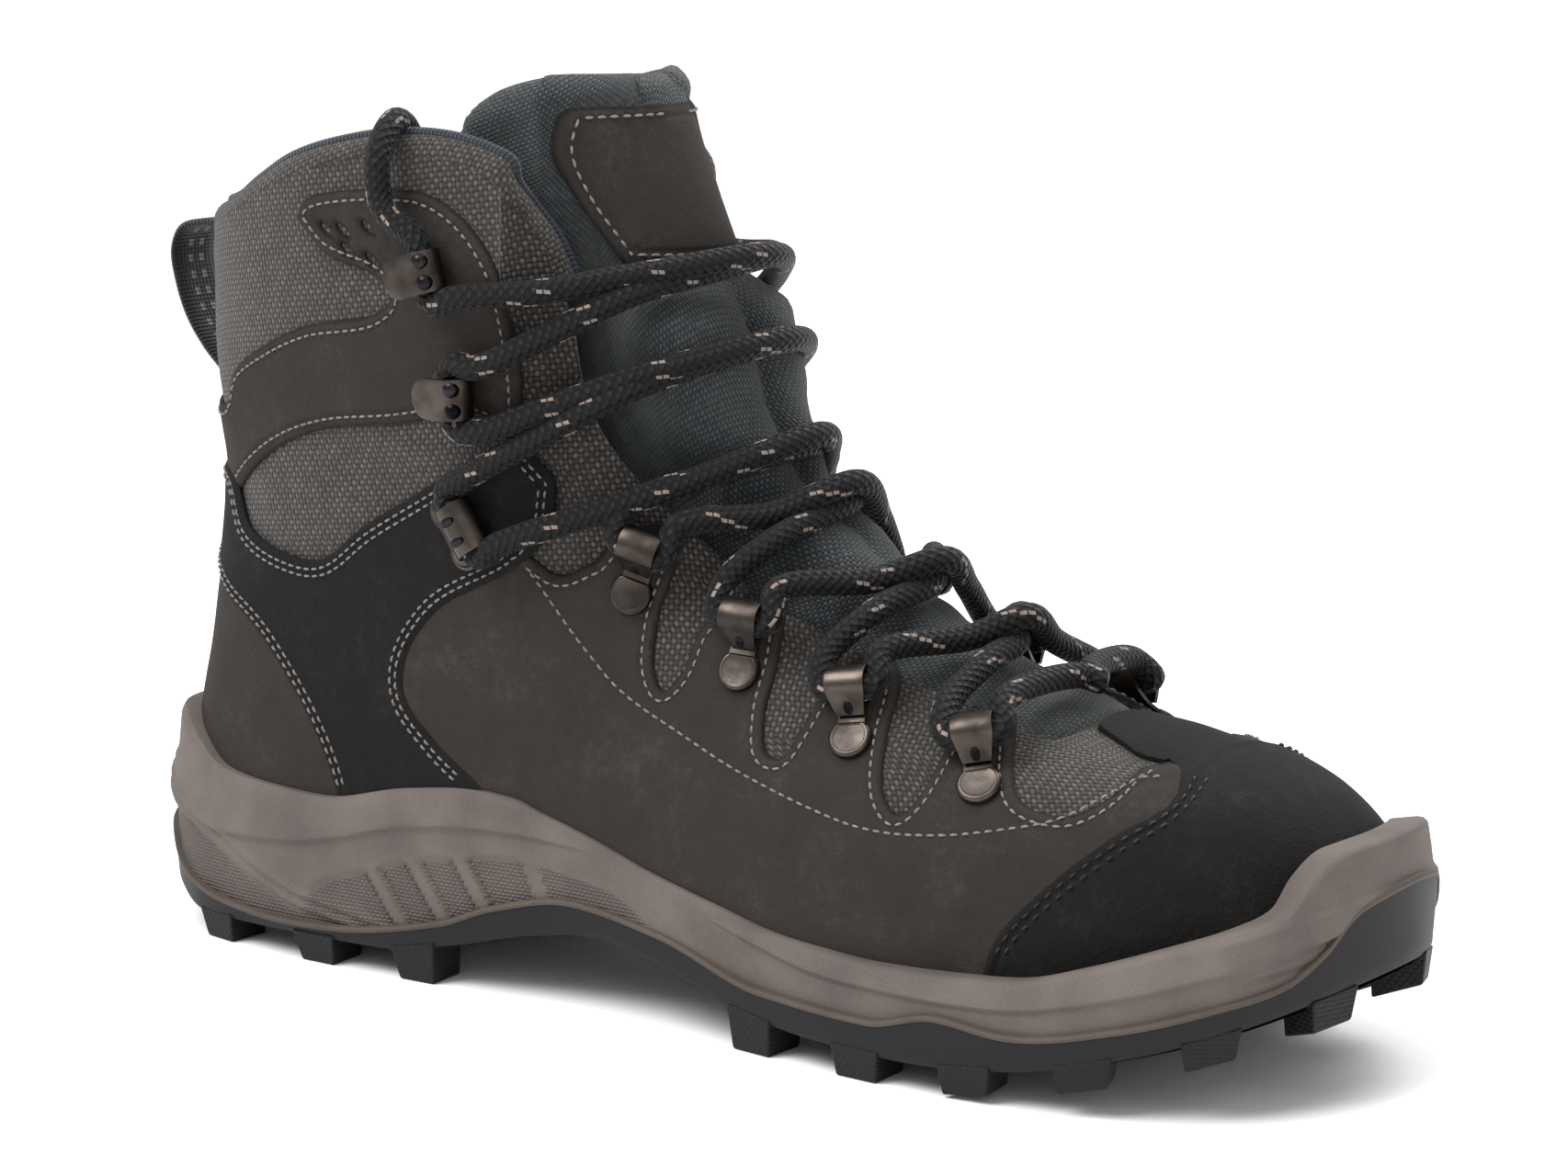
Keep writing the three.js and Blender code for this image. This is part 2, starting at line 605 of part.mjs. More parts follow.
// ---- Sole ----------------------------------------------------------------------------------
const HALF_LUG = LUG_LENGTH / 2;
const lugCorners = (share, half) => {
  const centre = planPoint(share, 0, ground);
  const along = planPoint(share + 0.004, 0, ground).sub(planPoint(share - 0.004, 0, ground));
  along.z = 0;
  along.normalize();
  const inward = new THREE.Vector3(-along.y, along.x, 0);
  const corners = [];
  [-1, 1].forEach((hand) =>
    [1.5, LUG_DEPTH].forEach((depth) => {
      const foot = centre.clone().addScaledVector(along, hand * half).addScaledVector(inward, depth);
      const low = ground(foot.x / SX) * SZ;
      const high = (treadBase(foot.x / SX) + 1.2) * SZ;
      corners.push(new THREE.Vector3(foot.x, foot.y, low), new THREE.Vector3(foot.x, foot.y, high));
    }),
  );
  return corners;
};
const convex = (points) => solid(new ConvexGeometry(points));
const LUG_SHARES = [0.02, 0.07, 0.115, 0.155, 0.285, 0.325, 0.362, 0.398, 0.434, 0.472];
const lugs = LUG_SHARES.flatMap((share) => [share, 1 - share]).map((share) =>
  convex(lugCorners(share, HALF_LUG)),
);
// Chevron blocks down the middle of the tread.
const CENTRE_BLOCKS = [
  [32, 0], [52, 0], [72, 0], [182, -10], [182, 12], [204, 0], [226, -10], [226, 13], [248, 2], [268, 4],
];
const blocks = CENTRE_BLOCKS.map(([x, y]) => {
  const plan = [[-6, -7], [4, -7], [8, 0], [4, 7], [-6, 7], [-2, 0]];
  const hull = plan.flatMap(([dx, dy]) => {
    const px = x + dx;
    const py = y + dy;
    return [
      new THREE.Vector3(px * SX, py * SY, ground(px) * SZ),
      new THREE.Vector3(px * SX, py * SY, (treadBase(px) + 1.2) * SZ),
    ];
  });
  return convex(hull);
});
const rubberShell = ringBody([
  { inset: 3, height: treadBase },
  { inset: 0.8, height: (x) => Math.min(treadBase(x) + 2, lip(x) - 1) },
  { inset: 0, height: lip },
]).subtract(
  ringBody([
    { inset: RUBBER_WALL, height: rubberTop },
    { inset: RUBBER_WALL, height: () => 90 },
  ]),
);
const outsole = joined([rubberShell, ...lugs, ...blocks]);
place("outsole", geometryOf(largest(outsole)), FINISH.rubber);

const midsoleBody = ringBody([
  { inset: RUBBER_WALL + FIT_GAP, height: rubberTop, lift: FIT_GAP },
  { inset: RUBBER_WALL + FIT_GAP, height: lip, lift: FIT_GAP },
  { inset: 0.6, height: lip, lift: FIT_GAP },
  { inset: 0.2, height: (x) => 0.5 * (lip(x) + midsoleTop(x)) },
  { inset: 3.5, height: midsoleTop },
  { inset: 9, height: midsoleTop },
]);
const upperSpace = lastBody(-FIT_GAP).subtract(below(boardBase, -FIT_GAP));
const shankPlan = (grow) => {
  const half = SHANK_WIDTH / 2 + grow;
  return new THREE.Shape(
    [[62, -0.7], [72, -1], [140, -1], [152, -0.6], [152, 0.6], [140, 1], [72, 1], [62, 0.7]].map(
      ([x, share]) => new THREE.Vector2(x * SX + Math.sign(x - 107) * grow, share * half),
    ),
  );
};
function plate(shape, base, lift, thickness) {
  const column = new THREE.ExtrudeGeometry(shape, { depth: FAR, bevelEnabled: false });
  const tall = solid(column.translate(0, 0, -FAR / 2));
  return tall.intersect(below(base, lift + thickness)).subtract(below(base, lift));
}
const SHANK_DROP = FIT_GAP + SHANK_THICKNESS;
const shankSlot = plate(shankPlan(FIT_GAP), boardBase, -SHANK_DROP - FIT_GAP, SHANK_DROP + FIT_GAP + 1);
place("midsole", geometryOf(largest(cut(midsoleBody, [upperSpace, shankSlot]))), FINISH.midsole);
place("shank", geometryOf(plate(shankPlan(0), boardBase, -SHANK_DROP, SHANK_THICKNESS)), FINISH.shank);

const boardSlab = lastBody(TEXTILE_OUT).intersect(below(boardBase, BOARD)).subtract(belowBoard);
place("insole_board", geometryOf(largest(boardSlab)), FINISH.board);
const footbedSlab = lastBody(LINING_IN + FIT_GAP)
  .intersect(below(boardBase, BOARD_TOP + FOOTBED))
  .subtract(belowLining);
place("footbed", geometryOf(largest(footbedSlab)), FINISH.foam);

// ---- Pull loop -----------------------------------------------------------------------------
const LOOP_LINE = [
  [18, 120], [10, 127], [4, 133], [-1, 140], [-4, 148], [-5, 155], [-2.5, 160], [4, 161.8], [18, 161],
];
// A strip of even thickness that follows a side-view line, as a closed outline.
function strip(line, thickness) {
  const points = new THREE.SplineCurve(line.map(([x, z]) => new THREE.Vector2(x * SX, z * SZ)))
    .getPoints(16);
  const offset = (share) =>
    points.map((point, k) => {
      const along = points[Math.min(k + 1, points.length - 1)].clone().sub(points[Math.max(k - 1, 0)]);
      along.normalize();
      return point.clone().addScaledVector(new THREE.Vector2(-along.y, along.x), share * thickness);
    });
  return [...offset(0.5), ...offset(-0.5).reverse()];
}
const loopGeometry = new THREE.ExtrudeGeometry(new THREE.Shape(strip(LOOP_LINE, LOOP_THICKNESS)), {
  depth: LOOP_WIDTH,
  bevelEnabled: false,
});
loopGeometry.rotateX(Math.PI / 2).translate(0, LOOP_WIDTH / 2, 0);
const loopSolid = solid(loopGeometry).subtract(lastBody(-FIT_GAP));
place("pull_loop", geometryOf(largest(loopSolid)), FINISH.rubber);

// ---- Hardware ------------------------------------------------------------------------------
const LACE_CLEAR = 0.45;
const TUNNEL = LACE_DIAMETER / 2 + LACE_CLEAR; // inner radius of a lace tunnel
const RING_REACH = 10; // from rivet to tunnel axis
function tube(radius, hole, length, sides = 5) {
  const ring = new THREE.Shape().absarc(0, 0, radius, 0, 2 * Math.PI);
  ring.holes.push(new THREE.Path().absarc(0, 0, hole, 0, 2 * Math.PI, true));
  const options = { depth: length, bevelEnabled: false, curveSegments: sides };
  const geometry = new THREE.ExtrudeGeometry(ring, options);
  return geometry.translate(0, 0, -length / 2).rotateY(Math.PI / 2);
}
const box = (x, y, z, centre) => new THREE.BoxGeometry(x, y, z).translate(...centre);
const DISC_HEIGHT = 1.5;
const pocket = new THREE.CylinderGeometry(RIVET_RADIUS + FIT_GAP, RIVET_RADIUS + FIT_GAP, 2, 8);
pocket.rotateX(Math.PI / 2);
function ringSolid() {
  const disc = new THREE.CylinderGeometry(RING_DISC_RADIUS, RING_DISC_RADIUS, DISC_HEIGHT, 14);
  disc.rotateX(Math.PI / 2).translate(0, 0, DISC_HEIGHT / 2);
  const strap = box(5, RING_REACH - 1, METAL, [0, RING_REACH / 2 - 0.5, METAL / 2]);
  const hood = tube(TUNNEL + METAL, TUNNEL, RING_TUNNEL_LENGTH);
  hood.translate(0, RING_REACH, TUNNEL + METAL);
  return joined([disc, strap].map(solid)).subtract(solid(pocket)).subtract(
    solid(tube(TUNNEL + METAL / 2, 0.01, RING_TUNNEL_LENGTH + 2).translate(0, RING_REACH, TUNNEL + METAL)),
  ).add(solid(hood));
}
const HOOK_BEND = 4; // from rivet to the middle of the hook's bend
function hookSolid() {
  const inner = TUNNEL;
  const outer = TUNNEL + METAL;
  const profile = new THREE.Shape();
  profile.moveTo(-5, 0);
  profile.lineTo(HOOK_BEND, 0);
  profile.absarc(HOOK_BEND, outer, outer, -Math.PI / 2, Math.PI / 2, false);
  profile.lineTo(-4, 2 * outer);
  profile.lineTo(-4, 2 * outer - METAL);
  profile.lineTo(HOOK_BEND, 2 * outer - METAL);
  profile.absarc(HOOK_BEND, outer, inner, Math.PI / 2, -Math.PI / 2, true);
  profile.lineTo(-5, METAL);
  const settings = { depth: HOOK_WIDTH, bevelEnabled: false, curveSegments: 6 };
  const bent = new THREE.ExtrudeGeometry(profile, settings).translate(0, 0, -HOOK_WIDTH / 2);
  // The profile's X and Y become the local Y and Z.
  bent.applyMatrix4(new THREE.Matrix4().makeBasis(
    new THREE.Vector3(0, 1, 0), new THREE.Vector3(0, 0, 1), new THREE.Vector3(1, 0, 0),
  ));
  const peg = new THREE.CylinderGeometry(2.6, 2.6, 0.5, 8).rotateX(Math.PI / 2);
  return solid(bent).add(solid(peg.translate(0, -1.5, METAL + 0.1)));
}
const CLEAT_REACH = 6;
function cleatSolid() {
  const plateBody = box(2 * EARS, 6, METAL, [0, 0, METAL / 2]);
  const ears = [-1, 1].map((hand) => {
    const ear = new THREE.CylinderGeometry(3.9, 3.9, METAL, 12).rotateX(Math.PI / 2);
    return ear.translate(hand * EARS, 0, METAL / 2);
  });
  const neck = box(CLEAT_WIDTH - 1, CLEAT_REACH, METAL, [0, CLEAT_REACH / 2, METAL / 2]);
  const bore = [-1, 1].map((hand) => solid(pocket.clone().translate(hand * EARS, 0, 0)));
  const tunnel = tube(TUNNEL + METAL / 2, 0.01, CLEAT_WIDTH + 9);
  const hood = tube(TUNNEL + METAL, TUNNEL, CLEAT_WIDTH).translate(0, CLEAT_REACH, TUNNEL + METAL);
  return cut(joined([plateBody, ...ears, neck].map(solid)), [
    ...bore, solid(tunnel.translate(0, CLEAT_REACH, TUNNEL + METAL)),
  ]).add(solid(hood));
}
const onBoot = (body, frame) => geometryOf(body).applyMatrix4(frame);
["outer", "inner"].forEach((side) => {
  RINGS.forEach((ring, k) =>
    place(`lace_ring_${side}_${k + 1}`, onBoot(ringSolid(), seat(ring, side)), FINISH.metal),
  );
  place(`lace_cleat_${side}`, onBoot(cleatSolid(), seat(CLEAT, side)), FINISH.metal);
  HOOKS.forEach((hook, k) =>
    place(`lace_hook_${side}_${k + 1}`, onBoot(hookSolid(), seat(hook, side)), FINISH.metal),
  );
});
// A rivet's foot is held in the leather and textile; a cleat's shows a domed head.
rivetPlaces.forEach(({ name, frame, lift }) => {
  const dome = lift === CLEAT_LIFT;
  const foot = -lift - TEXTILE_IN + FIT_GAP;
  const top = dome ? METAL + FIT_GAP : 0.6;
  const profile = [[0, foot], [RIVET_RADIUS, foot], [RIVET_RADIUS, top]];
  if (dome) profile.push([3, top], [2.7, top + 0.8], [1.6, top + 1.3]);
  profile.push([0, dome ? top + 1.5 : top]);
  const turned = new THREE.LatheGeometry(profile.map(([r, h]) => new THREE.Vector2(r, h)), 8);
  turned.rotateX(Math.PI / 2);
  place(name, turned.applyMatrix4(frame), FINISH.metal);
});

// ---- Lace ----------------------------------------------------------------------------------
// Seven fastenings a side, from the top hook (level 0) to the toe ring (level 6).
const TUNNEL_RISE = TUNNEL + METAL;
const ORIGIN = new THREE.Vector2();
// How far from a tunnel mouth to the ridge the flank points of a leg lie.
const SHAFT_SHARES = [0.33, 0.75];
const RING_SHARES = [0.6];
const LEVELS = [
  ...HOOKS.map((hook) => ({ ...hook, reach: HOOK_BEND, half: HOOK_WIDTH / 2, shares: SHAFT_SHARES })),
  { ...CLEAT, reach: CLEAT_REACH, half: CLEAT_WIDTH / 2, shares: SHAFT_SHARES },
  ...RINGS.map((ring) => ({ ...ring, reach: RING_REACH, half: RING_TUNNEL_LENGTH / 2, shares: RING_SHARES })),
];
const OTHER = { outer: "inner", inner: "outer" };
const COLLAR_END = -1;
const TOE_END = 1;
const CLEAR_OF_MOUTH = 2.2; // the lace runs straight this far past a tunnel

// A point on the lace `past` the mouth of a tunnel and `up` towards the throat from its axis.
function mouth(level, side, end, past, up = 0) {
  const gate = LEVELS[level];
  const hand = side === "outer" ? end : -end;
  const local = new THREE.Vector3(hand * (gate.half + past), gate.reach + up, TUNNEL_RISE);
  return local.applyMatrix4(seat(gate, side));
}
// Straight through a tunnel, from its collar end to its toe end.
function through(level, side) {
  return [COLLAR_END, TOE_END].map((end) => mouth(level, side, end, CLEAR_OF_MOUTH));
}
// Where the two legs below each fastening cross, on the ridge line.
const CRESTS = [[145.5, 158], [151, 141], [160, 118], [172.5, 104], [195, 90], [216, 79]];
const TOE_CREST = [236, 72];
const UNDER_LIFT = LACE_DIAMETER / 2 + 2.2;
const OVER_LIFT = UNDER_LIFT + LACE_DIAMETER + 0.5;
const TURN_PAST = 2.5; // where a leg has turned towards the ridge: past the mouth and up from the axis
const TURN_UP = 7;
// The side surface part of a leg: the turn beside the tunnel mouth, then the flank.
function flank(level, side, end, [x, z]) {
  const turn = mouth(level, side, end, TURN_PAST, TURN_UP);
  const fx = turn.x / SX;
  const fz = turn.z / SZ;
  const rest = LEVELS[level].shares.map((share) => {
    const here = onLast(fx + (x - fx) * share, fz + (z - fz) * share, side);
    return here.point.addScaledVector(here.normal, UNDER_LIFT);
  });
  return [turn, ...rest];
}
function crest([x, z], lift) {
  const angle = bearing(x, z);
  return lastPoint(angle, Math.PI / 2, noTrim).addScaledVector(lastNormal(angle, Math.PI / 2), lift);
}
// Over the tongue from the toe end of one tunnel to an end of one on the other side.
function leg(level, side, next, nextEnd, top, lift) {
  const fall = flank(next, OTHER[side], nextEnd, top).toReversed();
  return [...flank(level, side, TOE_END, top), crest(top, lift), ...fall];
}
// One half of the lacing, from a top hook down to the toe ring. The legs that fall from the outer
// side lie over the others.
function halfLacing(topSide) {
  let side = topSide;
  const points = [];
  LEVELS.forEach((_, level) => {
    points.push(...through(level, side));
    if (level === LEVELS.length - 1) return;
    const lift = side === "outer" ? OVER_LIFT : UNDER_LIFT;
    points.push(...leg(level, side, level + 1, COLLAR_END, CRESTS[level], lift));
    side = OTHER[side];
  });
  return points;
}
// From the top hook over the collar, down inside the shaft and forward on the footbed. Outer side.
const TUCK = [
  [90, -48.5, 172], [88, -47.5, 183], [86, -39, 190], [82, -28, 185], [76, -21.5, 168],
  [73, -20, 125], [75, -19, 60], [88, -18, 38.5], [142, -14, 35],
];
const tuck = (side) => {
  const hand = side === "outer" ? 1 : -1;
  return TUCK.map(([x, y, z]) => new THREE.Vector3(x * SX, hand * y * SY, z * SZ));
};
const lastLevel = LEVELS.length - 1;
const toeBar = leg(lastLevel, "outer", lastLevel, TOE_END, TOE_CREST, UNDER_LIFT);
const lacePoints = [
  ...tuck("outer").toReversed(),
  ...halfLacing("outer"),
  ...toeBar,
  ...halfLacing("inner").toReversed(),
  ...tuck("inner"),
];
const laceRoute = new THREE.CatmullRomCurve3(lacePoints, false, "centripetal");
// The tube's steps fall on the route's own points, which are close together at each fastening.
laceRoute.getPointAt = laceRoute.getPoint;
laceRoute.getTangentAt = laceRoute.getTangent;
const laceSection = new THREE.Shape(
  [0, 1, 2, 3, 4, 5, 6, 7].map((k) =>
    new THREE.Vector2(LACE_DIAMETER / 2, 0).rotateAround(ORIGIN, (k * Math.PI) / 4),
  ),
);
const laceTube = new THREE.ExtrudeGeometry(laceSection, {
  steps: lacePoints.length - 1,
  bevelEnabled: false,
  extrudePath: laceRoute,
});
place("lace", laceTube, FINISH.lace);
const AGLET_LENGTH = 22;
const AGLET_RADIUS = 1.9;
[0, 1].forEach((end) => {
  const tip = laceRoute.getPoint(end);
  const away = laceRoute.getTangent(end).multiplyScalar(end ? 1 : -1);
  const aglet = new THREE.CylinderGeometry(AGLET_RADIUS * 0.8, AGLET_RADIUS, AGLET_LENGTH, 8);
  aglet.translate(0, AGLET_LENGTH / 2 + FIT_GAP, 0);
  aglet.applyQuaternion(new THREE.Quaternion().setFromUnitVectors(new THREE.Vector3(0, 1, 0), away));
  aglet.translate(tip.x, tip.y, tip.z);
  place(`aglet_${end ? "inner" : "outer"}`, aglet, FINISH.rubber);
});

// ---- Group ---------------------------------------------------------------------------------
const boot = new THREE.Group();
const group = new THREE.Group();
meshes.forEach((mesh) => boot.add(mesh));
// The origin is under the middle of the boot itself, laces left out, on the ground.
const bootBox = new THREE.Box3();
meshes.filter(({ name }) => !/^(lace|aglet_\w+)$/.test(name)).forEach((mesh) => bootBox.expandByObject(mesh));
const middle = bootBox.getCenter(new THREE.Vector3());
boot.position.set(-middle.x, -middle.y, -bootBox.min.z);
group.add(boot);
export default group;
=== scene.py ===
"""A right-foot hiking boot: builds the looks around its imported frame.

The upper is cut from one smooth last surface. A pattern piece is drawn in the side view, in pattern
millimetres, laid on that surface, given its thickness and stitched. The sole is two walls that run round
the plan outline. All pattern millimetres turn into the frame's metres in one place, Pattern.to_frame.
"""

import json
import logging
import math
from dataclasses import dataclass, field
from enum import Enum
from typing import Callable, Sequence

import bpy
import numpy as np
from mathutils import Vector
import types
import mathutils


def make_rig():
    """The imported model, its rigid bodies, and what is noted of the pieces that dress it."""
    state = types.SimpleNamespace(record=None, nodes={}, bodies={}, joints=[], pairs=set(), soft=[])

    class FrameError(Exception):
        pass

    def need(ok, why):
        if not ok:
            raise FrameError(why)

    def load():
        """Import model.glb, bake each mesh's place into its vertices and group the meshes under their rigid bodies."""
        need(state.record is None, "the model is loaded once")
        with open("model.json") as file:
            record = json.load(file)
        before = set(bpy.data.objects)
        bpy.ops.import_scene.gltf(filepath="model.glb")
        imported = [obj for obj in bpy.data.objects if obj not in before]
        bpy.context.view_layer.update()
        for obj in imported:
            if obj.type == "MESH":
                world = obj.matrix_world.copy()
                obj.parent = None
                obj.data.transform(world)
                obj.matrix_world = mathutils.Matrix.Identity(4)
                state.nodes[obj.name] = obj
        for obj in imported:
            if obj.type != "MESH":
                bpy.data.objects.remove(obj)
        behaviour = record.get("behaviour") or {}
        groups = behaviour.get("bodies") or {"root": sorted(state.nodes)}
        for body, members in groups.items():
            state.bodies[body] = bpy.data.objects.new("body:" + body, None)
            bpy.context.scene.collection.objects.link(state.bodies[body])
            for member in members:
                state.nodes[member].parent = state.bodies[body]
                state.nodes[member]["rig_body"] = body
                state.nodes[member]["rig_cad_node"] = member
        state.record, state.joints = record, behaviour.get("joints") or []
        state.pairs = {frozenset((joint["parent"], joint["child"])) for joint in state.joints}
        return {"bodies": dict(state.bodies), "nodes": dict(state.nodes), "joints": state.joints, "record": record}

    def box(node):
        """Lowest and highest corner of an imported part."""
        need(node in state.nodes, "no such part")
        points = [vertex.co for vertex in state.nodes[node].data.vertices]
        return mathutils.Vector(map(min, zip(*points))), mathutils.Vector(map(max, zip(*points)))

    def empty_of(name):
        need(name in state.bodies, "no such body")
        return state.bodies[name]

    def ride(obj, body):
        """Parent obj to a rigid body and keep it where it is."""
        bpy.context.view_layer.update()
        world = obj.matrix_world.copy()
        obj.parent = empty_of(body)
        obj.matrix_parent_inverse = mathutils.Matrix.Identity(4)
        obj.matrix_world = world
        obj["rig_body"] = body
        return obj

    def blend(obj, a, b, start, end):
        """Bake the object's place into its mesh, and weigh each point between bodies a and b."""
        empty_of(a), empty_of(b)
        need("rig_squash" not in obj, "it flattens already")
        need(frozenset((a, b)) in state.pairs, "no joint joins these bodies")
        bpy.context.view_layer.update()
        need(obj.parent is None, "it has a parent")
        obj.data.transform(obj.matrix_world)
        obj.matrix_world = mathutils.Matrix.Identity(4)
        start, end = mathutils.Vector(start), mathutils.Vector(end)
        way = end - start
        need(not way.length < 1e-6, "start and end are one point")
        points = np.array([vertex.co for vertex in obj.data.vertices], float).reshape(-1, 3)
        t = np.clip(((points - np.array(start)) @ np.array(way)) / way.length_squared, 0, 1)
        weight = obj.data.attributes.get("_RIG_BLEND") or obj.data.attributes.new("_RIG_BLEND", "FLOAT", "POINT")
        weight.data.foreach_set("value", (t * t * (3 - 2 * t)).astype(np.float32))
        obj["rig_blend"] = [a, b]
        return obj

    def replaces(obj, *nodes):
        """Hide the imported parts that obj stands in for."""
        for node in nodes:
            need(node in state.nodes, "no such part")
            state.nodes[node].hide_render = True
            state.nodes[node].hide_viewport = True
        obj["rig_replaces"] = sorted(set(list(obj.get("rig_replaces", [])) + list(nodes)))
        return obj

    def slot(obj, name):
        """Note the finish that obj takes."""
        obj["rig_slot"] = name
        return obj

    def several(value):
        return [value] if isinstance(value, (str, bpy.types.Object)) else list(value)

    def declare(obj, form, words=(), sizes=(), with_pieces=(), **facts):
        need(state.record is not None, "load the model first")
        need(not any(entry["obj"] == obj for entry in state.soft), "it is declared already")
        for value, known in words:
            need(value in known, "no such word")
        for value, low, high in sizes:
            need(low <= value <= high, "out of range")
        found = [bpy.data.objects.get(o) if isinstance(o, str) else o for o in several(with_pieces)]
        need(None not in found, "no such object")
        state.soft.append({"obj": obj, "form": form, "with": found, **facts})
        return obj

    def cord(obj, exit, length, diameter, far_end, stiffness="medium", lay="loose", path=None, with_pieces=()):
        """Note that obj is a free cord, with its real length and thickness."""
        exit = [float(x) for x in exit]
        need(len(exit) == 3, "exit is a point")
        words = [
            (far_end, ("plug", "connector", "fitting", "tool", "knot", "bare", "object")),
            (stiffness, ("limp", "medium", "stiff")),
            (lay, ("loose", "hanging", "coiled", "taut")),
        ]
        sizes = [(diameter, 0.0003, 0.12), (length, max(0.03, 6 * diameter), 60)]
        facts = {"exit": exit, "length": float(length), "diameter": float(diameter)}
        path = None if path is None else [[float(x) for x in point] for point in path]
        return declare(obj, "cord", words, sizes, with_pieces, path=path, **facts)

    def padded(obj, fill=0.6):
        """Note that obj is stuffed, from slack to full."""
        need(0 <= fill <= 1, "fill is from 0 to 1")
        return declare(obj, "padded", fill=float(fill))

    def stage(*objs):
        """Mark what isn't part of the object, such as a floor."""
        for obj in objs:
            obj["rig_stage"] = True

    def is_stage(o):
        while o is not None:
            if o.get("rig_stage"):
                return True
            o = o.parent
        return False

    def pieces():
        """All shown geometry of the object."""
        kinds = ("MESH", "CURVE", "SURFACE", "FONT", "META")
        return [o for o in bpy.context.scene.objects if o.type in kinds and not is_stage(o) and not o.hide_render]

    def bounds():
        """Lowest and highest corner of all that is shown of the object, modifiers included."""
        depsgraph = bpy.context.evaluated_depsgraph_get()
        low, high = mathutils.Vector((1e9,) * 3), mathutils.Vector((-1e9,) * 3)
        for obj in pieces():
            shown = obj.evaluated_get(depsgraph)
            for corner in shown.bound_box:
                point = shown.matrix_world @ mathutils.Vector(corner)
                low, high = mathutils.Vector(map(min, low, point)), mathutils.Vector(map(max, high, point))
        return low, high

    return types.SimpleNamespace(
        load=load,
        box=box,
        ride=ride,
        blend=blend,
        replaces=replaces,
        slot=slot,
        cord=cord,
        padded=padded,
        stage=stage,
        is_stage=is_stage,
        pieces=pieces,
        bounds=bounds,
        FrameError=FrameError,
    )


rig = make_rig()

LOG = logging.getLogger("boot")
Points = Sequence[tuple[float, float]]
Array = np.ndarray

TEXTILE_DEPTH = 1.5  # how far the textile's face lies below the leather's
LACE_DIAMETER = 5.6
SIZE_FILE = "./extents.json"


class Side(Enum):
    """A side of the boot; its value is the sign of Y."""

    OUTER = -1
    INNER = 1


# ---- Curves ---------------------------------------------------------------------------------


class Curve:
    """A cubic through (x, y) pairs that never overshoots them."""

    def __init__(self, pairs: Points) -> None:
        """Fits the curve; x rises from pair to pair.

        Args:
            pairs: The (x, y) pairs.
        """
        self.x, self.y = (np.array(v, float) for v in zip(*sorted(pairs)))
        self.width = np.diff(self.x)
        rise = np.diff(self.y) / self.width
        self.slope = np.zeros(len(self.x))
        self.slope[0], self.slope[-1] = rise[0], rise[-1]
        for k in range(1, len(self.x) - 1):
            before, after = rise[k - 1], rise[k]
            if before * after > 0:
                a = 2 * self.width[k] + self.width[k - 1]
                b = self.width[k] + 2 * self.width[k - 1]
                self.slope[k] = (a + b) / (a / before + b / after)

    def __call__(self, value: Array) -> Array:
        """The curve's y at each x.

        Args:
            value: The places.

        Returns:
            The heights; places past an end get that end's.
        """
        v = np.clip(value, self.x[0], self.x[-1])
        k = np.clip(np.searchsorted(self.x, v, side="right") - 1, 0, len(self.x) - 2)
        t = (v - self.x[k]) / self.width[k]
        u = 1 - t
        return (
            self.y[k] * (1 + 2 * t) * u * u
            + self.slope[k] * self.width[k] * t * u * u
            + self.y[k + 1] * t * t * (3 - 2 * t)
            - self.slope[k + 1] * self.width[k] * t * t * u
        )


def through(points: Array, steps: int, closed: bool = False) -> Array:
    """Points on a centripetal Catmull-Rom curve, the same number in each stretch.

    Args:
        points: The points that the curve passes, one a row.
        steps: How many points each stretch gets.
        closed: Whether the curve joins its end to its start.

    Returns:
        The curve's points; an open curve ends on its last point.
    """
    p = np.asarray(points, float)
    if closed:
        p = np.vstack([p[-1], p, p[0], p[1]])
    else:
        p = np.vstack([2 * p[0] - p[1], p, 2 * p[-1] - p[-2]])
    rows = []
    t = np.linspace(0, 1, steps, endpoint=False)[:, None]
    for a, b, c, d in zip(p, p[1:], p[2:], p[3:]):
        d0, d1, d2 = (max(np.linalg.norm(v) ** 0.5, 1e-4) for v in (b - a, c - b, d - c))
        m1 = ((b - a) / d0 - (c - a) / (d0 + d1) + (c - b) / d1) * d1
        m2 = ((c - b) / d1 - (d - b) / (d1 + d2) + (d - c) / d2) * d1
        rows.append(
            b * (2 * t**3 - 3 * t**2 + 1)
            + m1 * (t**3 - 2 * t**2 + t)
            + c * (3 * t**2 - 2 * t**3)
            + m2 * (t**3 - t**2)
        )
    if not closed:
        rows.append(p[-2][None])
    return np.vstack(rows)


def along(points: Array) -> Array:
    """The distance along a polyline at each of its points."""
    return np.concatenate([[0], np.cumsum(np.linalg.norm(np.diff(points, axis=0), axis=1))])


def evenly(points: Array, pitch: float) -> Array:
    """A polyline's points at an even pitch.

    Args:
        points: The polyline.
        pitch: About how far apart the new points are.

    Returns:
        The points, both ends included.
    """
    run = along(points)
    at = np.linspace(0, run[-1], max(int(run[-1] / pitch), 2) + 1)
    return np.stack([np.interp(at, run, points[:, k]) for k in range(points.shape[1])], 1)


def unit(vectors: Array) -> Array:
    """Each row scaled to length one."""
    return vectors / np.maximum(np.linalg.norm(vectors, axis=-1, keepdims=True), 1e-9)


def smoothstep(low: float, high: float, value: Array) -> Array:
    """0 below low, 1 above high and a smooth rise between them."""
    t = np.clip((value - low) / (high - low), 0, 1)
    return t * t * (3 - 2 * t)


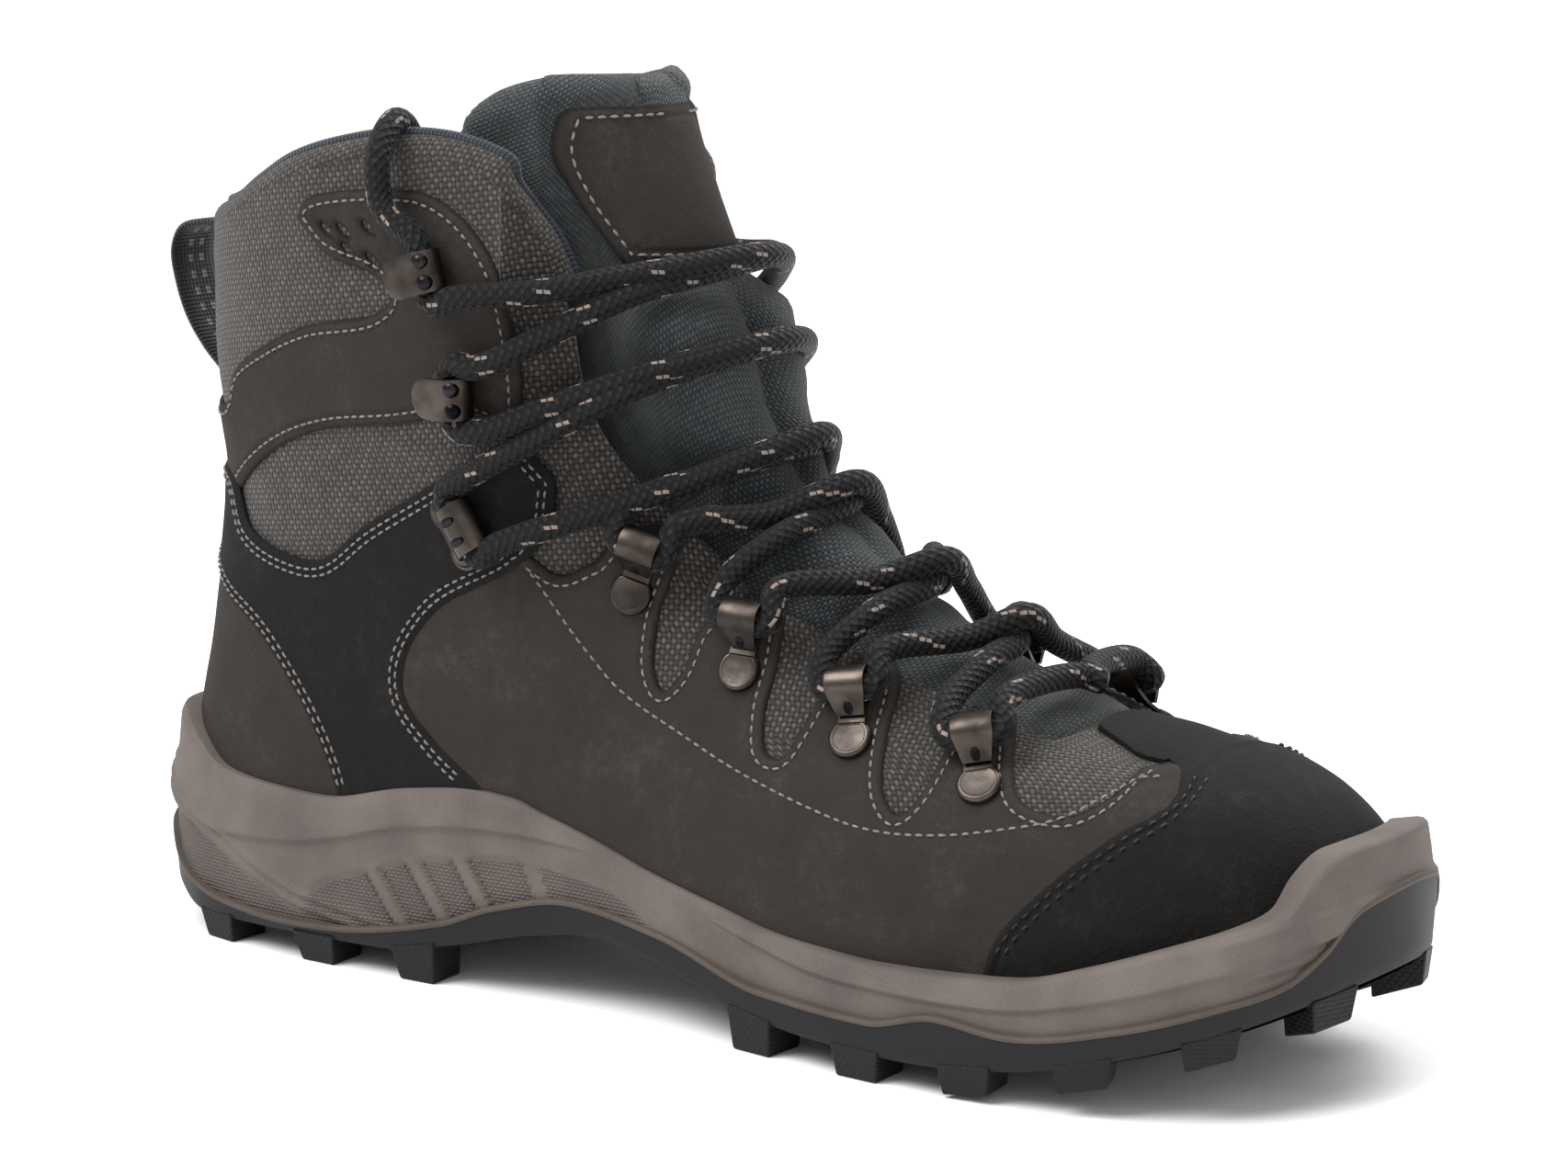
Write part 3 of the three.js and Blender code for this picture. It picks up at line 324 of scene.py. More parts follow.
class Outline:
    """A closed side-view outline. Each run is a corner, or a curve through its points."""

    STEPS = 8

    def __init__(self, runs: Sequence[Points]) -> None:
        """Draws the outline.

        Args:
            runs: Corners and curves in order; a curve also starts at the point before it.
        """
        line = [np.array(runs[0][0], float)]
        for k, run in enumerate(runs):
            rest = run[1:] if k == 0 else run
            if len(rest) > 1:
                curve = through(np.array([line[-1], *rest]), self.STEPS)
                line.extend(curve[1:])
            else:
                line.extend(np.array(p, float) for p in rest)
        self.line = np.array(line)

    def depth(self, places: Array) -> Array:
        """How far inside the outline each (x, z) place lies; below zero is outside.

        Args:
            places: (x, z) rows.

        Returns:
            The depths.
        """
        a = self.line
        b = np.roll(a, -1, axis=0)
        px, pz = places[:, 0], places[:, 1]
        nearest = np.full(len(places), 1e9)
        inside = np.zeros(len(places), bool)
        for (ax, az), (bx, bz) in zip(a, b):
            dx, dz = bx - ax, bz - az
            length = dx * dx + dz * dz
            if length < 1e-9:
                continue
            t = np.clip(((px - ax) * dx + (pz - az) * dz) / length, 0, 1)
            nearest = np.minimum(nearest, (px - ax - t * dx) ** 2 + (pz - az - t * dz) ** 2)
            if dz:
                crosses = (az > pz) != (bz > pz)
                inside ^= crosses & (px < ax + dx * (pz - az) / dz)
        return np.where(inside, 1, -1) * np.sqrt(nearest)

    def inset(self, amount: float) -> Array:
        """The closed outline moved in by an amount, as dense points; places it can't reach are nan.

        Args:
            amount: How far.

        Returns:
            The points.
        """
        line = evenly(np.vstack([self.line, self.line[:1]]), 0.8)[:-1]
        ahead = unit(np.roll(line, -1, axis=0) - np.roll(line, 1, axis=0))
        turn = np.sum(self.line[:, 0] * np.roll(self.line[:, 1], -1))
        turn -= np.sum(np.roll(self.line[:, 0], -1) * self.line[:, 1])
        inward = np.stack([-ahead[:, 1], ahead[:, 0]], 1) * np.sign(turn)
        moved = line + inward * amount
        moved[self.depth(moved) < amount - 0.25] = np.nan
        return moved


# ---- The last -------------------------------------------------------------------------------


class Last:
    """The smooth form that the upper is pulled over, in pattern millimetres."""

    PIVOT = (115.0, 20.0)
    RIDGE = (
        (302, 10), (304, 24), (303, 36), (298, 47), (289, 56), (276, 62.5), (258, 67), (240, 71),
        (212, 81), (188, 94.5), (169, 107.5), (156.5, 124), (150, 144), (144, 163), (137, 180),
        (130, 200), (124, 240), (121, 400), (60, 420), (8, 400), (8, 240), (9, 180), (9, 160),
        (9, 141), (11, 129), (13, 117), (13, 101), (11, 85), (8, 65), (5, 50), (3, 36), (2, 22), (3, 5),
    )
    STEP = 0.01

    def __init__(self, trim: Curve | None = None) -> None:
        """Sets up the form.

        Args:
            trim: How much narrower each half is at a height, for a piece inside the shaft.
        """
        self.trim = trim
        near = [(self.bearing(x, z), 1 / math.hypot(x - self.PIVOT[0], z - self.PIVOT[1])) for x,
                z in self.RIDGE]
        self.nearness = Curve([(float(a), n) for a, n in near])
        self.width = {
            Side.OUTER: Curve(
                [(0, 36), (60, 36.5), (110, 38), (150, 42), (190, 48), (220, 51), (260, 52), (310, 50)]
            ),
            Side.INNER: Curve(
                [(0, 35), (60, 35.5), (110, 34), (150, 37), (190, 44), (220, 48), (260, 50), (310, 50)]
            ),
        }
        self.height = Curve([(0, 1), (45, 1), (80, 0.99), (110, 1.04), (160, 1.16), (200, 1.18)])
        self.midline = Curve([(0, 0), (150, 0), (220, 1.5), (270, 4), (305, 7)])
        full = [(-20, 4.2), (15, 4.2), (30, 3.4), (60, 2.9), (90, 3.4), (125, 3.4), (150, 5), (200, 6)]
        rounded = [(-20, 2.4), (20, 2.4), (40, 2.1), (60, 2), (130, 2), (160, 2.2), (200, 2.3)]
        self.fullness = Curve([(math.radians(a), v) for a, v in full])
        self.roundness = Curve([(math.radians(a), v) for a, v in rounded])

    def bearing(self, x: Array, z: Array) -> Array:
        """The angle of a side-view place, seen from the pivot."""
        angle = np.arctan2(np.asarray(z) - self.PIVOT[1], np.asarray(x) - self.PIVOT[0])
        return np.where(angle < -math.pi / 2, angle + 2 * math.pi, angle)

    def reach(self, angle: Array) -> Array:
        """How far the ridge line is from the pivot."""
        return 1 / self.nearness(angle)

    def point(self, angle: Array, turn: Array) -> Array:
        """The point at a bearing and a turn: 0 is the outer end of the pivot line, pi the inner.

        Args:
            angle: The bearing.
            turn: The turn over the ridge.

        Returns:
            The points.
        """
        share = np.sin(turn)
        r = self.reach(angle) * share
        x = self.PIVOT[0] + r * np.cos(angle)
        z = self.PIVOT[1] + r * np.sin(angle)
        outer = turn < math.pi / 2
        width = np.where(outer, self.width[Side.OUTER](x), self.width[Side.INNER](x)) * self.height(z)
        if self.trim is not None:
            width = width - self.trim(z)
        dome = np.maximum(1 - share ** self.fullness(angle), 0) ** (1 / self.roundness(angle))
        y = self.midline(x) + np.where(outer, -width, width) * dome
        return np.stack(np.broadcast_arrays(x, y, z), -1)

    def normal(self, angle: Array, turn: Array) -> Array:
        """The outward normal there.

        Args:
            angle: The bearing.
            turn: The turn over the ridge.

        Returns:
            The normals.
        """
        step = self.STEP
        over = self.point(angle, np.minimum(turn + step, math.pi)) - self.point(angle,
                                                                                np.maximum(turn - step, 0))
        fan = self.point(angle + step, turn) - self.point(angle - step, turn)
        return unit(np.cross(over, fan))

    def place(
        self, places: Array, side: Side, lift: float | Array = 0.0, strict: bool = True
    ) -> tuple[Array, Array]:
        """Lifts side-view places to the surface.

        Args:
            places: (x, z) rows.
            side: Which side of the boot.
            lift: Height off the surface.
            strict: Whether rows off the form come back as nan; else they stay on its ridge.

        Returns:
            The points and their normals.
        """
        q = np.atleast_2d(np.asarray(places, float))
        angle = self.bearing(q[:, 0], q[:, 1])
        share = np.hypot(q[:, 0] - self.PIVOT[0], q[:, 1] - self.PIVOT[1]) / self.reach(angle)
        turn = np.arcsin(np.minimum(share, 0.9999))
        if side is Side.INNER:
            turn = math.pi - turn
        normal = self.normal(angle, turn)
        point = self.point(angle, turn) + normal * np.reshape(lift, (-1, 1) if np.ndim(lift) else ())
        if strict:
            point[share > 1] = np.nan
        return point, normal


# ---- Meshes ---------------------------------------------------------------------------------


class Pattern:
    """Turns pattern millimetres into the frame's metres."""

    HEEL_TIP_X = -1.0

    def __init__(self) -> None:
        """Finds the pattern's origin from where the outsole and the pull loop lie in the frame."""
        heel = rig.box("outsole")[0].x * 1000
        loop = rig.box("pull_loop")
        self.origin = np.array([self.HEEL_TIP_X - heel, -(loop[0].y + loop[1].y) * 500, 0.0])

    def to_frame(self, points: Array) -> Array:
        """Pattern points as points in the row frame, in metres."""
        return (np.asarray(points, float) - self.origin) / 1000


@dataclass
class Shell:
    """A triangle or quad mesh in pattern millimetres."""

    points: Array
    faces: list[tuple[int, ...]]
    pattern: Array | None = None  # u, v in millimetres and a mask, for the finishes
    sharp: float = 40.0  # edges bent more than this many degrees stay sharp


def join(shells: Sequence[Shell]) -> Shell:
    """Several shells as one, each keeping its own vertices.

    Args:
        shells: The parts.

    Returns:
        The whole.
    """
    faces: list[tuple[int, ...]] = []
    start = 0
    for shell in shells:
        faces.extend(tuple(v + start for v in f) for f in shell.faces)
        start += len(shell.points)
    patterns = [s.pattern if s.pattern is not None else np.zeros((len(s.points), 3)) for s in shells]
    return Shell(np.vstack([s.points for s in shells]), faces, np.vstack(patterns), shells[0].sharp)


def quads(rows: int, columns: int, around: bool = False) -> list[tuple[int, ...]]:
    """The faces of a grid of points.

    Args:
        rows: How many rows it has.
        columns: How many points a row has.
        around: Whether each row's end joins its start.

    Returns:
        One face a cell: a point, its neighbour in the row, and the two above them.
    """
    faces = []
    for r in range(rows - 1):
        for c in range(columns if around else columns - 1):
            a, b = r * columns + c, r * columns + (c + 1) % columns
            faces.append((a, b, b + columns, a + columns))
    return faces


@dataclass
class Workshop:
    """Puts finished pieces into the scene, on their bodies."""

    pattern: Pattern
    made: int = 0

    def piece(
        self,
        name: str,
        shell: Shell,
        finish: bpy.types.Material,
        slot: str,
        body: str = "boot",
        replaces: Sequence[str] = (),
        bevel: float = 0.0,
    ) -> bpy.types.Object:
        """Makes one piece.

        Args:
            name: The piece's name.
            shell: Its mesh, in pattern millimetres.
            finish: Its material.
            slot: The record's material slot.
            body: The frame body it rides on; an empty name leaves it free, for a blend.
            replaces: The CAD nodes it stands for.
            bevel: Width of the rounding on its sharp edges, in millimetres.

        Returns:
            The new object.
        """
        mesh = bpy.data.meshes.new(name)
        mesh.from_pydata(self.pattern.to_frame(shell.points).tolist(), [], shell.faces)
        mesh.validate()
        mesh.polygons.foreach_set("use_smooth", [True] * len(mesh.polygons))
        mesh.set_sharp_from_angle(angle=math.radians(shell.sharp))
        if shell.pattern is not None and len(mesh.vertices) == len(shell.pattern):
            values = mesh.attributes.new("pattern", "FLOAT_VECTOR", "POINT")
            values.data.foreach_set("vector", np.asarray(shell.pattern, np.float32).ravel())
        mesh.materials.append(finish)
        obj = bpy.data.objects.new(name, mesh)
        bpy.context.scene.collection.objects.link(obj)
        if bevel:
            rounding = obj.modifiers.new("rounding", "BEVEL")
            rounding.width = bevel / 1000
            rounding.segments = 2
            rounding.limit_method = "ANGLE"
            rounding.angle_limit = math.radians(35)
            rounding.harden_normals = True
        if replaces:
            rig.replaces(obj, *replaces)
        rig.slot(obj, slot)
        if body:
            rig.ride(obj, body)
        self.made += 1
        LOG.info("%s: %d faces", name, len(mesh.polygons))
        return obj


class Skin:
    """The last's surface as two grids, one a side, from low on the side up to the ridge line."""

    COLUMNS = 330
    ROWS = 140
    TOP = 206.0  # nothing is made above this height

    def __init__(self, last: Last, columns: int = COLUMNS, rows: int = ROWS) -> None:
        """Samples the surface at even steps along each section.

        Args:
            last: The form.
            columns: Sections round the fan.
            rows: Points in a section.
        """
        self.last = last
        self.shape = (columns, rows)
        angles = np.radians(np.linspace(-4, 186, columns))
        self.grids: dict[Side, tuple[Array, Array, Array]] = {}
        reach = last.reach(angles)
        rise = np.maximum(np.sin(angles), 1e-3)
        high = np.minimum(1, np.where(np.sin(angles) > 0.2, (self.TOP - last.PIVOT[1]) / (reach * rise), 1))
        low = 16 / reach
        for side in Side:
            share = np.linspace(0, 1, 260)[None, :]
            fine = np.arcsin(low)[:, None] + (np.arcsin(high) - np.arcsin(low))[:, None] * share
            turns = fine if side is Side.OUTER else math.pi - fine
            path = last.point(angles[:, None], turns)
            even = np.empty((columns, rows))
            across = np.empty((columns, rows))
            for k in range(columns):
                run = along(path[k])
                even[k] = np.interp(np.linspace(0, run[-1], rows), run, turns[k])
                across[k] = run[-1] * np.linspace(1, 0, rows)
            wide = np.broadcast_to(angles[:, None], even.shape)
            point = last.point(wide, even)
            ridge = np.broadcast_to(along(point[:, -1])[:, None], even.shape)
            weave = np.stack([across * side.value, ridge], -1)
            self.grids[side] = (point, last.normal(wide, even), weave)

    def rows_of(self, side: Side) -> tuple[Array, Array]:
        """The grid's rows of point, normal, and distances across and along the ridge, and its triangles.

        Args:
            side: The side.

        Returns:
            The rows and the vertex numbers of the triangles.
        """
        point, normal, weave = self.grids[side]
        columns, rows = self.shape
        index = np.arange(columns * rows).reshape(columns, rows)
        a, b = index[:-1, :-1].ravel(), index[1:, :-1].ravel()
        c, d = index[1:, 1:].ravel(), index[:-1, 1:].ravel()
        triangles = np.vstack([np.stack([a, c, b], 1), np.stack([a, d, c], 1)])
        if side is Side.INNER:
            triangles = triangles[:, ::-1]
        rows = np.concatenate([point, normal, weave], axis=-1)
        return rows.reshape(-1, 8), triangles


def clipped(data: Array, triangles: Array) -> tuple[Array, Array]:
    """Cuts triangles along the line where the last column of data is zero.

    Args:
        data: One row a vertex; the last column is its depth inside the piece.
        triangles: Vertex numbers.

    Returns:
        The rows and triangles of what lies inside.
    """
    data = data.copy()
    data[np.abs(data[:, -1]) < 0.15, -1] = 0.0
    depth = data[:, -1]
    inside = depth[triangles] >= 0
    count = inside.sum(1)
    kept = [triangles[(count == 3) & (depth[triangles].max(1) > 0)]]
    new_rows: list[Array] = []
    numbers: dict[tuple[int, int], int] = {}

    def crossing(a: int, b: int) -> int:
        """The new vertex where an edge crosses the line.

        Args:
            a: One end.
            b: The other.

        Returns:
            Its number.
        """
        if depth[a] == 0:
            return a
        if depth[b] == 0:
            return b
        key = (a, b) if a < b else (b, a)
        if key not in numbers:
            t = depth[a] / (depth[a] - depth[b])
            row = data[a] * (1 - t) + data[b] * t
            row[-1] = 0.0
            numbers[key] = len(data) + len(new_rows)
            new_rows.append(row)
        return numbers[key]

    cut = []
    for tri, flags, number in zip(*(v[(count == 1) | (count == 2)] for v in (triangles, inside, count))):
        k = int(np.argmax(flags)) if number == 1 else int(np.argmin(flags))
        a, b, c = (int(tri[(k + s) % 3]) for s in range(3))
        if number == 1:
            if depth[a] > 0:
                cut.append((a, crossing(a, b), crossing(a, c)))
        else:
            p, q = crossing(b, a), crossing(c, a)
            cut.append((b, c, p))
            cut.append((c, q, p))
    if cut:
        solid = [t for t in cut if len(set(t)) == 3]
        kept.append(np.array(solid, int).reshape(-1, 3))
    rows = np.vstack([data, np.array(new_rows)]) if new_rows else data
    faces = np.vstack(kept)
    used, faces = np.unique(faces, return_inverse=True)
    return rows[used], faces.reshape(-1, 3)


def rim(triangles: Array) -> Array:
    """The directed edges that only one triangle has.

    Args:
        triangles: Vertex numbers.

    Returns:
        Pairs of vertex numbers.
    """
    edges = np.vstack([triangles[:, [0, 1]], triangles[:, [1, 2]], triangles[:, [2, 0]]])
    key = np.sort(edges, axis=1)
    _, first, count = np.unique(key, axis=0, return_index=True, return_counts=True)
    return edges[first[count == 1]]


class Unrolled:
    """Distances over the last along level and upright sections, so that a weave keeps its pitch."""

    STEP_X, STEP_Z = 1.5, 2.0
    X = np.arange(8.0, 304.0, STEP_X)
    Z = np.arange(14.0, 212.0, STEP_Z)
    tables: dict[Side, Array] = {}

    @classmethod
    def measure(cls, last: Last) -> None:
        """Adds up both distances on a grid for each side.

        Args:
            last: The form.
        """
        x, z = np.meshgrid(cls.X, cls.Z, indexing="ij")
        for side in Side:
            point, _ = last.place(np.column_stack([x.ravel(), z.ravel()]), side, strict=False)
            y = point[:, 1].reshape(x.shape)
            flat = np.hypot(np.diff(y, axis=0, prepend=y[:1]), cls.STEP_X).cumsum(0)
            upright = np.hypot(np.diff(y, axis=1, prepend=y[:, :1]), cls.STEP_Z).cumsum(1)
            cls.tables[side] = np.stack([flat, upright], -1)

    @classmethod
    def of(cls, point: Array) -> Array:
        """The two distances at each point.

        Args:
            point: The points.

        Returns:
            Level and upright distance, one row a point.
        """
        i = np.clip((point[:, 0] - cls.X[0]) / cls.STEP_X, 0, len(cls.X) - 1.001)
        j = np.clip((point[:, 2] - cls.Z[0]) / cls.STEP_Z, 0, len(cls.Z) - 1.001)
        a, b = i.astype(int), j.astype(int)
        p, q = (i - a)[:, None], (j - b)[:, None]
        sides = []
        for side in Side:
            table = cls.tables[side]
            low = table[a, b] * (1 - q) + table[a, b + 1] * q
            high = table[a + 1, b] * (1 - q) + table[a + 1, b + 1] * q
            sides.append(low * (1 - p) + high * p)
        return np.where(point[:, 1:2] < 0, sides[0], sides[1])


@dataclass
class Cut:
    """A pattern piece laid on the skin."""

    rows: Array  # x, y, z, normal x, y, z, across and along the ridge, depth
    triangles: Array

    @staticmethod
    def lay(skin: Skin, sides: Sequence[Side], depth: Callable[[Array, Side], Array]) -> "Cut":
        """Cuts the piece from the skin and joins its halves at the ridge.

        Args:
            skin: The surface.
            sides: The sides it covers.
            depth: Gives each (x, z) place its depth inside the piece.

        Returns:
            The piece.
        """
        rows, triangles, start = [], [], 0
        for side in sides:
            sampled, faces = skin.rows_of(side)
            inside = depth(sampled[:, [0, 2]], side)
            data, cut = clipped(np.column_stack([sampled, inside]), faces)
            rows.append(data)
            triangles.append(cut + start)
            start += len(data)
        data = np.vstack(rows)
        faces = np.vstack(triangles)
        _, first, number = np.unique(np.round(data[:, :3], 2), axis=0, return_index=True,
                                     return_inverse=True)
        faces = number.reshape(-1)[faces]
        good = (faces[:, 0] != faces[:, 1]) & (faces[:, 1] != faces[:, 2]) & (faces[:, 0] != faces[:, 2])
        return Cut(data[first], faces[good])

    def shell(
        self,
        top: Callable[[Array, Array], Array],
        bottom: Callable[[Array, Array], Array],
        sharp: float = 40.0,
    ) -> Shell:
        """The piece with its thickness.

        Args:
            top: Height of the outer face off the last, from points and depths.
            bottom: Height of the inner face.
            sharp: The angle over which edges stay sharp, in degrees.

        Returns:
            The mesh, with x and z as its pattern.
        """
        point, normal, depth = self.rows[:, :3], self.rows[:, 3:6], self.rows[:, -1]
        upper = point + normal * top(point, depth)[:, None]
        pattern = np.column_stack([Unrolled.of(point), depth])
        faces = [tuple(map(int, t)) for t in self.triangles]
        lower = point + normal * bottom(point, depth)[:, None]
        count = len(point)
        faces += [(int(c) + count, int(b) + count, int(a) + count) for a, b, c in self.triangles]
        faces += [(int(b), int(a), int(a) + count, int(b) + count) for a, b in rim(self.triangles)]
        return Shell(np.vstack([upper, lower]), faces, np.vstack([pattern, pattern]), sharp)


# ---- Finishes -------------------------------------------------------------------------------


def linear(colour: str) -> tuple[float, float, float, float]:
    """An sRGB hex colour as linear red, green, blue and 1.

    Args:
        colour: The colour, such as #808080.

    Returns:
        The four values.
    """
    parts = [int(colour[k : k + 2], 16) / 255 for k in (1, 3, 5)]
    red, green, blue = (c / 12.92 if c <= 0.04045 else ((c + 0.055) / 1.055) ** 2.4 for c in parts)
    return red, green, blue, 1.0


def per(size: float) -> float:
    """The noise scale whose features are about this many millimetres across."""
    return 1000 / size


class Graph:
    """The node tree of one finish."""

    def __init__(self, name: str, **shader: object) -> None:
        """Starts the tree.

        Args:
            name: The material's name.
            **shader: Constant settings of the shader's sockets, with _ for a space.
        """
        self.material = bpy.data.materials.new(name)
        self.material.use_nodes = True
        self.material.node_tree.nodes.clear()
        self.shader = self.add("BsdfPrincipled", {k.replace("_", " "): v for k, v in shader.items()})
        self.add("OutputMaterial", {"Surface": self.shader.outputs[0]})
        self.place = self.add("TexCoord").outputs["Object"]
        self.pattern = self.add("Attribute", attribute_name="pattern").outputs["Vector"]

    def add(self, kind: str, inputs: dict | None = None, **settings: object) -> bpy.types.Node:
        """Adds a node.

        Args:
            kind: The node's kind, without "ShaderNode".
            inputs: Values, sRGB hex colours or sockets for its inputs, by name or number.
            **settings: The node's own properties.

        Returns:
            The node.
        """
        made = self.material.node_tree.nodes.new("ShaderNode" + kind)
        for key, value in settings.items():
            setattr(made, key, value)
        for key, value in (inputs or {}).items():
            if isinstance(value, bpy.types.NodeSocket):
                self.material.node_tree.links.new(value, made.inputs[key])
            else:
                made.inputs[key].default_value = linear(value) if isinstance(value, str) else value
        return made

    def finish(
        self, colour: bpy.types.NodeSocket, rough: object, height: bpy.types.NodeSocket, depth: float
    ) -> bpy.types.Material:
        """Wires the shader.

        Args:
            colour: The base colour.
            rough: The roughness, a value or a socket.
            height: The bump's height, from 0 to 1.
            depth: How deep the bump is, in millimetres.

        Returns:
            The material.
        """
        links = self.material.node_tree.links
        links.new(colour, self.shader.inputs["Base Color"])
        if isinstance(rough, bpy.types.NodeSocket):
            links.new(rough, self.shader.inputs["Roughness"])
        else:
            self.shader.inputs["Roughness"].default_value = rough
        bump = self.add("Bump", {"Height": height, "Distance": depth / 1000, "Strength": 1.0})
        links.new(bump.outputs[0], self.shader.inputs["Normal"])
        return self.material


def sums(graph: Graph, *terms: tuple[object, float]) -> bpy.types.NodeSocket:
    """The sum of sockets, each times a weight.

    Args:
        graph: The node tree.
        *terms: Sockets or numbers, each with its weight.

    Returns:
        The sum.
    """
    total: object = 0.0
    for socket, weight in terms:
        node = graph.add("Math", {0: socket, 1: weight, 2: total}, operation="MULTIPLY_ADD")
        total = node.outputs[0]
    return total


def ridges(graph: Graph, value: object, pitch: float, shift: object = 0.0) -> bpy.types.NodeSocket:
    """|sin| of a distance: 0 at every multiple of the pitch and 1 half way between.

    Args:
        graph: The node tree.
        value: The distance.
        pitch: The spacing, in millimetres.
        shift: The phase.

    Returns:
        The wave.
    """
    turned = graph.add("Math", {0: value, 1: math.pi / pitch, 2: shift}, operation="MULTIPLY_ADD")
    wave = graph.add("Math", {0: turned.outputs[0]}, operation="SINE")
    return graph.add("Math", {0: wave.outputs[0]}, operation="ABSOLUTE").outputs[0]


@dataclass(frozen=True)
class Nap:
    """Nubuck or suede: leather whose face or flesh side is sanded to a short nap.

    The nap kills the shine, catches a soft light at grazing angles and shows cloudy patches where it lies
    one way or the other. Cut edges are pressed darker; the lines beside a seam are darker from pressed nap
    and from painted shade in the stitched groove.
    """

    name: str
    dark: str
    base: str
    light: str
    nap: float  # length of the nap's clumps, in millimetres
    cloud: float = 14.0
    seam: float = 2.6  # how far the stitched groove is from the edge
    sheen: float = 0.12
    roughness: float = 0.86
    relief: float = 0.35

    def build(self) -> bpy.types.Material:
        """Makes the material.

        Returns:
            The material.
        """
        g = Graph(
            self.name, Sheen_Weight=self.sheen, Sheen_Roughness=0.45, Sheen_Tint=linear(self.light),
                  IOR=1.45,
            Specular_IOR_Level=0.25,
        )
        clouds = g.add("TexNoise", {"Vector": g.place, "Scale": per(self.cloud), "Detail": 4.0,
                                    "Roughness": 0.6})
        clumps = g.add("TexNoise", {"Vector": g.place, "Scale": per(self.nap * 4), "Detail": 3.0})
        nap = g.add("TexNoise", {"Vector": g.place, "Scale": per(self.nap), "Detail": 2.0, "Roughness": 0.7})
        depth = g.add("SeparateXYZ", {0: g.pattern}).outputs[2]
        off = g.add("Math", {0: depth, 1: self.seam}, operation="SUBTRACT")
        near = g.add("Math", {0: off.outputs[0]}, operation="ABSOLUTE")
        groove = g.add("MapRange", {0: near.outputs[0], 1: 0.0, 2: 1.3, 3: 1.0, 4: 0.0},
                       interpolation_type="SMOOTHSTEP")
        tone = sums(g, (clouds.outputs[0], 0.6), (clumps.outputs[0], 0.35), (nap.outputs[0], 0.4))
        tone = g.add("MapRange", {0: tone, 1: 0.4, 2: 1.0}).outputs[0]
        low = g.add("Mix", {0: tone, 6: self.dark, 7: self.base}, data_type="RGBA").outputs[2]
        high = g.add("MapRange", {0: tone, 1: 0.55, 2: 1.0}).outputs[0]
        colour = g.add("Mix", {0: high, 6: low, 7: self.light}, data_type="RGBA").outputs[2]
        # Painted shade in the stitched groove, together with the darker pressed nap there.
        pressed_nap_and_shade = g.add("Math", {0: groove.outputs[0], 1: 0.45}, operation="MULTIPLY").outputs[0]
        colour = g.add("Mix", {0: pressed_nap_and_shade, 6: colour, 7: self.dark}, data_type="RGBA").outputs[2]
        edge = g.add("MapRange", {0: depth, 1: 0.1, 2: 0.8, 3: 0.75, 4: 0.0}).outputs[0]
        colour = g.add("Mix", {0: edge, 6: colour, 7: "#100f0e"}, data_type="RGBA").outputs[2]
        height = sums(g, (nap.outputs[0], 0.5), (clumps.outputs[0], 0.5), (groove.outputs[0], -0.9))
        return g.finish(colour, self.roughness, height, self.relief)


@dataclass(frozen=True)
class Weave:
    """A woven textile: threads pass over and under each other in a plain weave.

    Each crossing is a small hump with a painted highlight on its top and painted shade down into the dark pin holes
    between; single threads vary.
    """

    name: str
    gap_shade: str
    warp: str
    weft: str
    pitch: float  # thread spacing, in millimetres
    slant: float = 0.0  # how far the weft leans, as a share of x
    fleck: float = 0.5
    roughness: float = 0.8
    relief: float = 0.35

    def build(self) -> bpy.types.Material:
        """Makes the material.

        Returns:
            The material.
        """
        g = Graph(self.name, Sheen_Weight=0.15, Sheen_Roughness=0.5, IOR=1.48, Specular_IOR_Level=0.3)
        split = g.add("SeparateXYZ", {0: g.pattern})
        wobble = g.add("TexNoise", {"Vector": g.place, "Scale": per(6.0)}).outputs[0]
        u = sums(g, (split.outputs[0], 1.0), (split.outputs[1], self.slant), (wobble, self.pitch * 0.7))
        v = sums(g, (split.outputs[1], 1.0), (split.outputs[0], -self.slant), (wobble, self.pitch * 0.5))
        waves = []
        for value in (u, v):
            turned = g.add("Math", {0: value, 1: math.pi / self.pitch}, operation="MULTIPLY")
            waves.append(g.add("Math", {0: turned.outputs[0]}, operation="SINE").outputs[0])
        product = g.add("Math", {0: waves[0], 1: waves[1]}, operation="MULTIPLY").outputs[0]
        over = g.add("MapRange", {0: product, 1: -0.06, 2: 0.06}).outputs[0]
        a, b = (g.add("Math", {0: w}, operation="ABSOLUTE").outputs[0] for w in waves)
        warp = g.add("Math", {0: g.add("Math", {0: a, 1: 0.5}, operation="POWER").outputs[0],
                              1: sums(g, (b, 0.45), (1.0, 0.55))}, operation="MULTIPLY").outputs[0]
        weft = g.add("Math", {0: g.add("Math", {0: b, 1: 0.5}, operation="POWER").outputs[0],
                              1: sums(g, (a, 0.45), (1.0, 0.55))}, operation="MULTIPLY").outputs[0]
        height = g.add("Mix", {0: over, 2: weft, 3: warp}).outputs[0]
        threads = g.add("TexNoise", {"Vector": g.place, "Scale": per(self.pitch * 2.2),
                                     "Detail": 2.0}).outputs[0]
        thread = g.add("Mix", {0: over, 6: self.weft, 7: self.warp}, data_type="RGBA").outputs[2]
        shade = g.add("MapRange", {0: threads, 1: 0.38, 2: 0.66, 3: 1 - self.fleck, 4: 1.0}).outputs[0]
        # Painted highlight on the top of each hump and painted shade in the hollows, taken from the bump's height.
        lit = g.add("Math", {0: g.add("MapRange", {0: height, 1: 0.35, 2: 0.95}).outputs[0], 1: shade},
                    operation="MULTIPLY").outputs[0]
        return g.finish(g.add("Mix", {0: lit, 6: self.gap_shade, 7: thread}, data_type="RGBA").outputs[2],
                        self.roughness, height, self.relief)


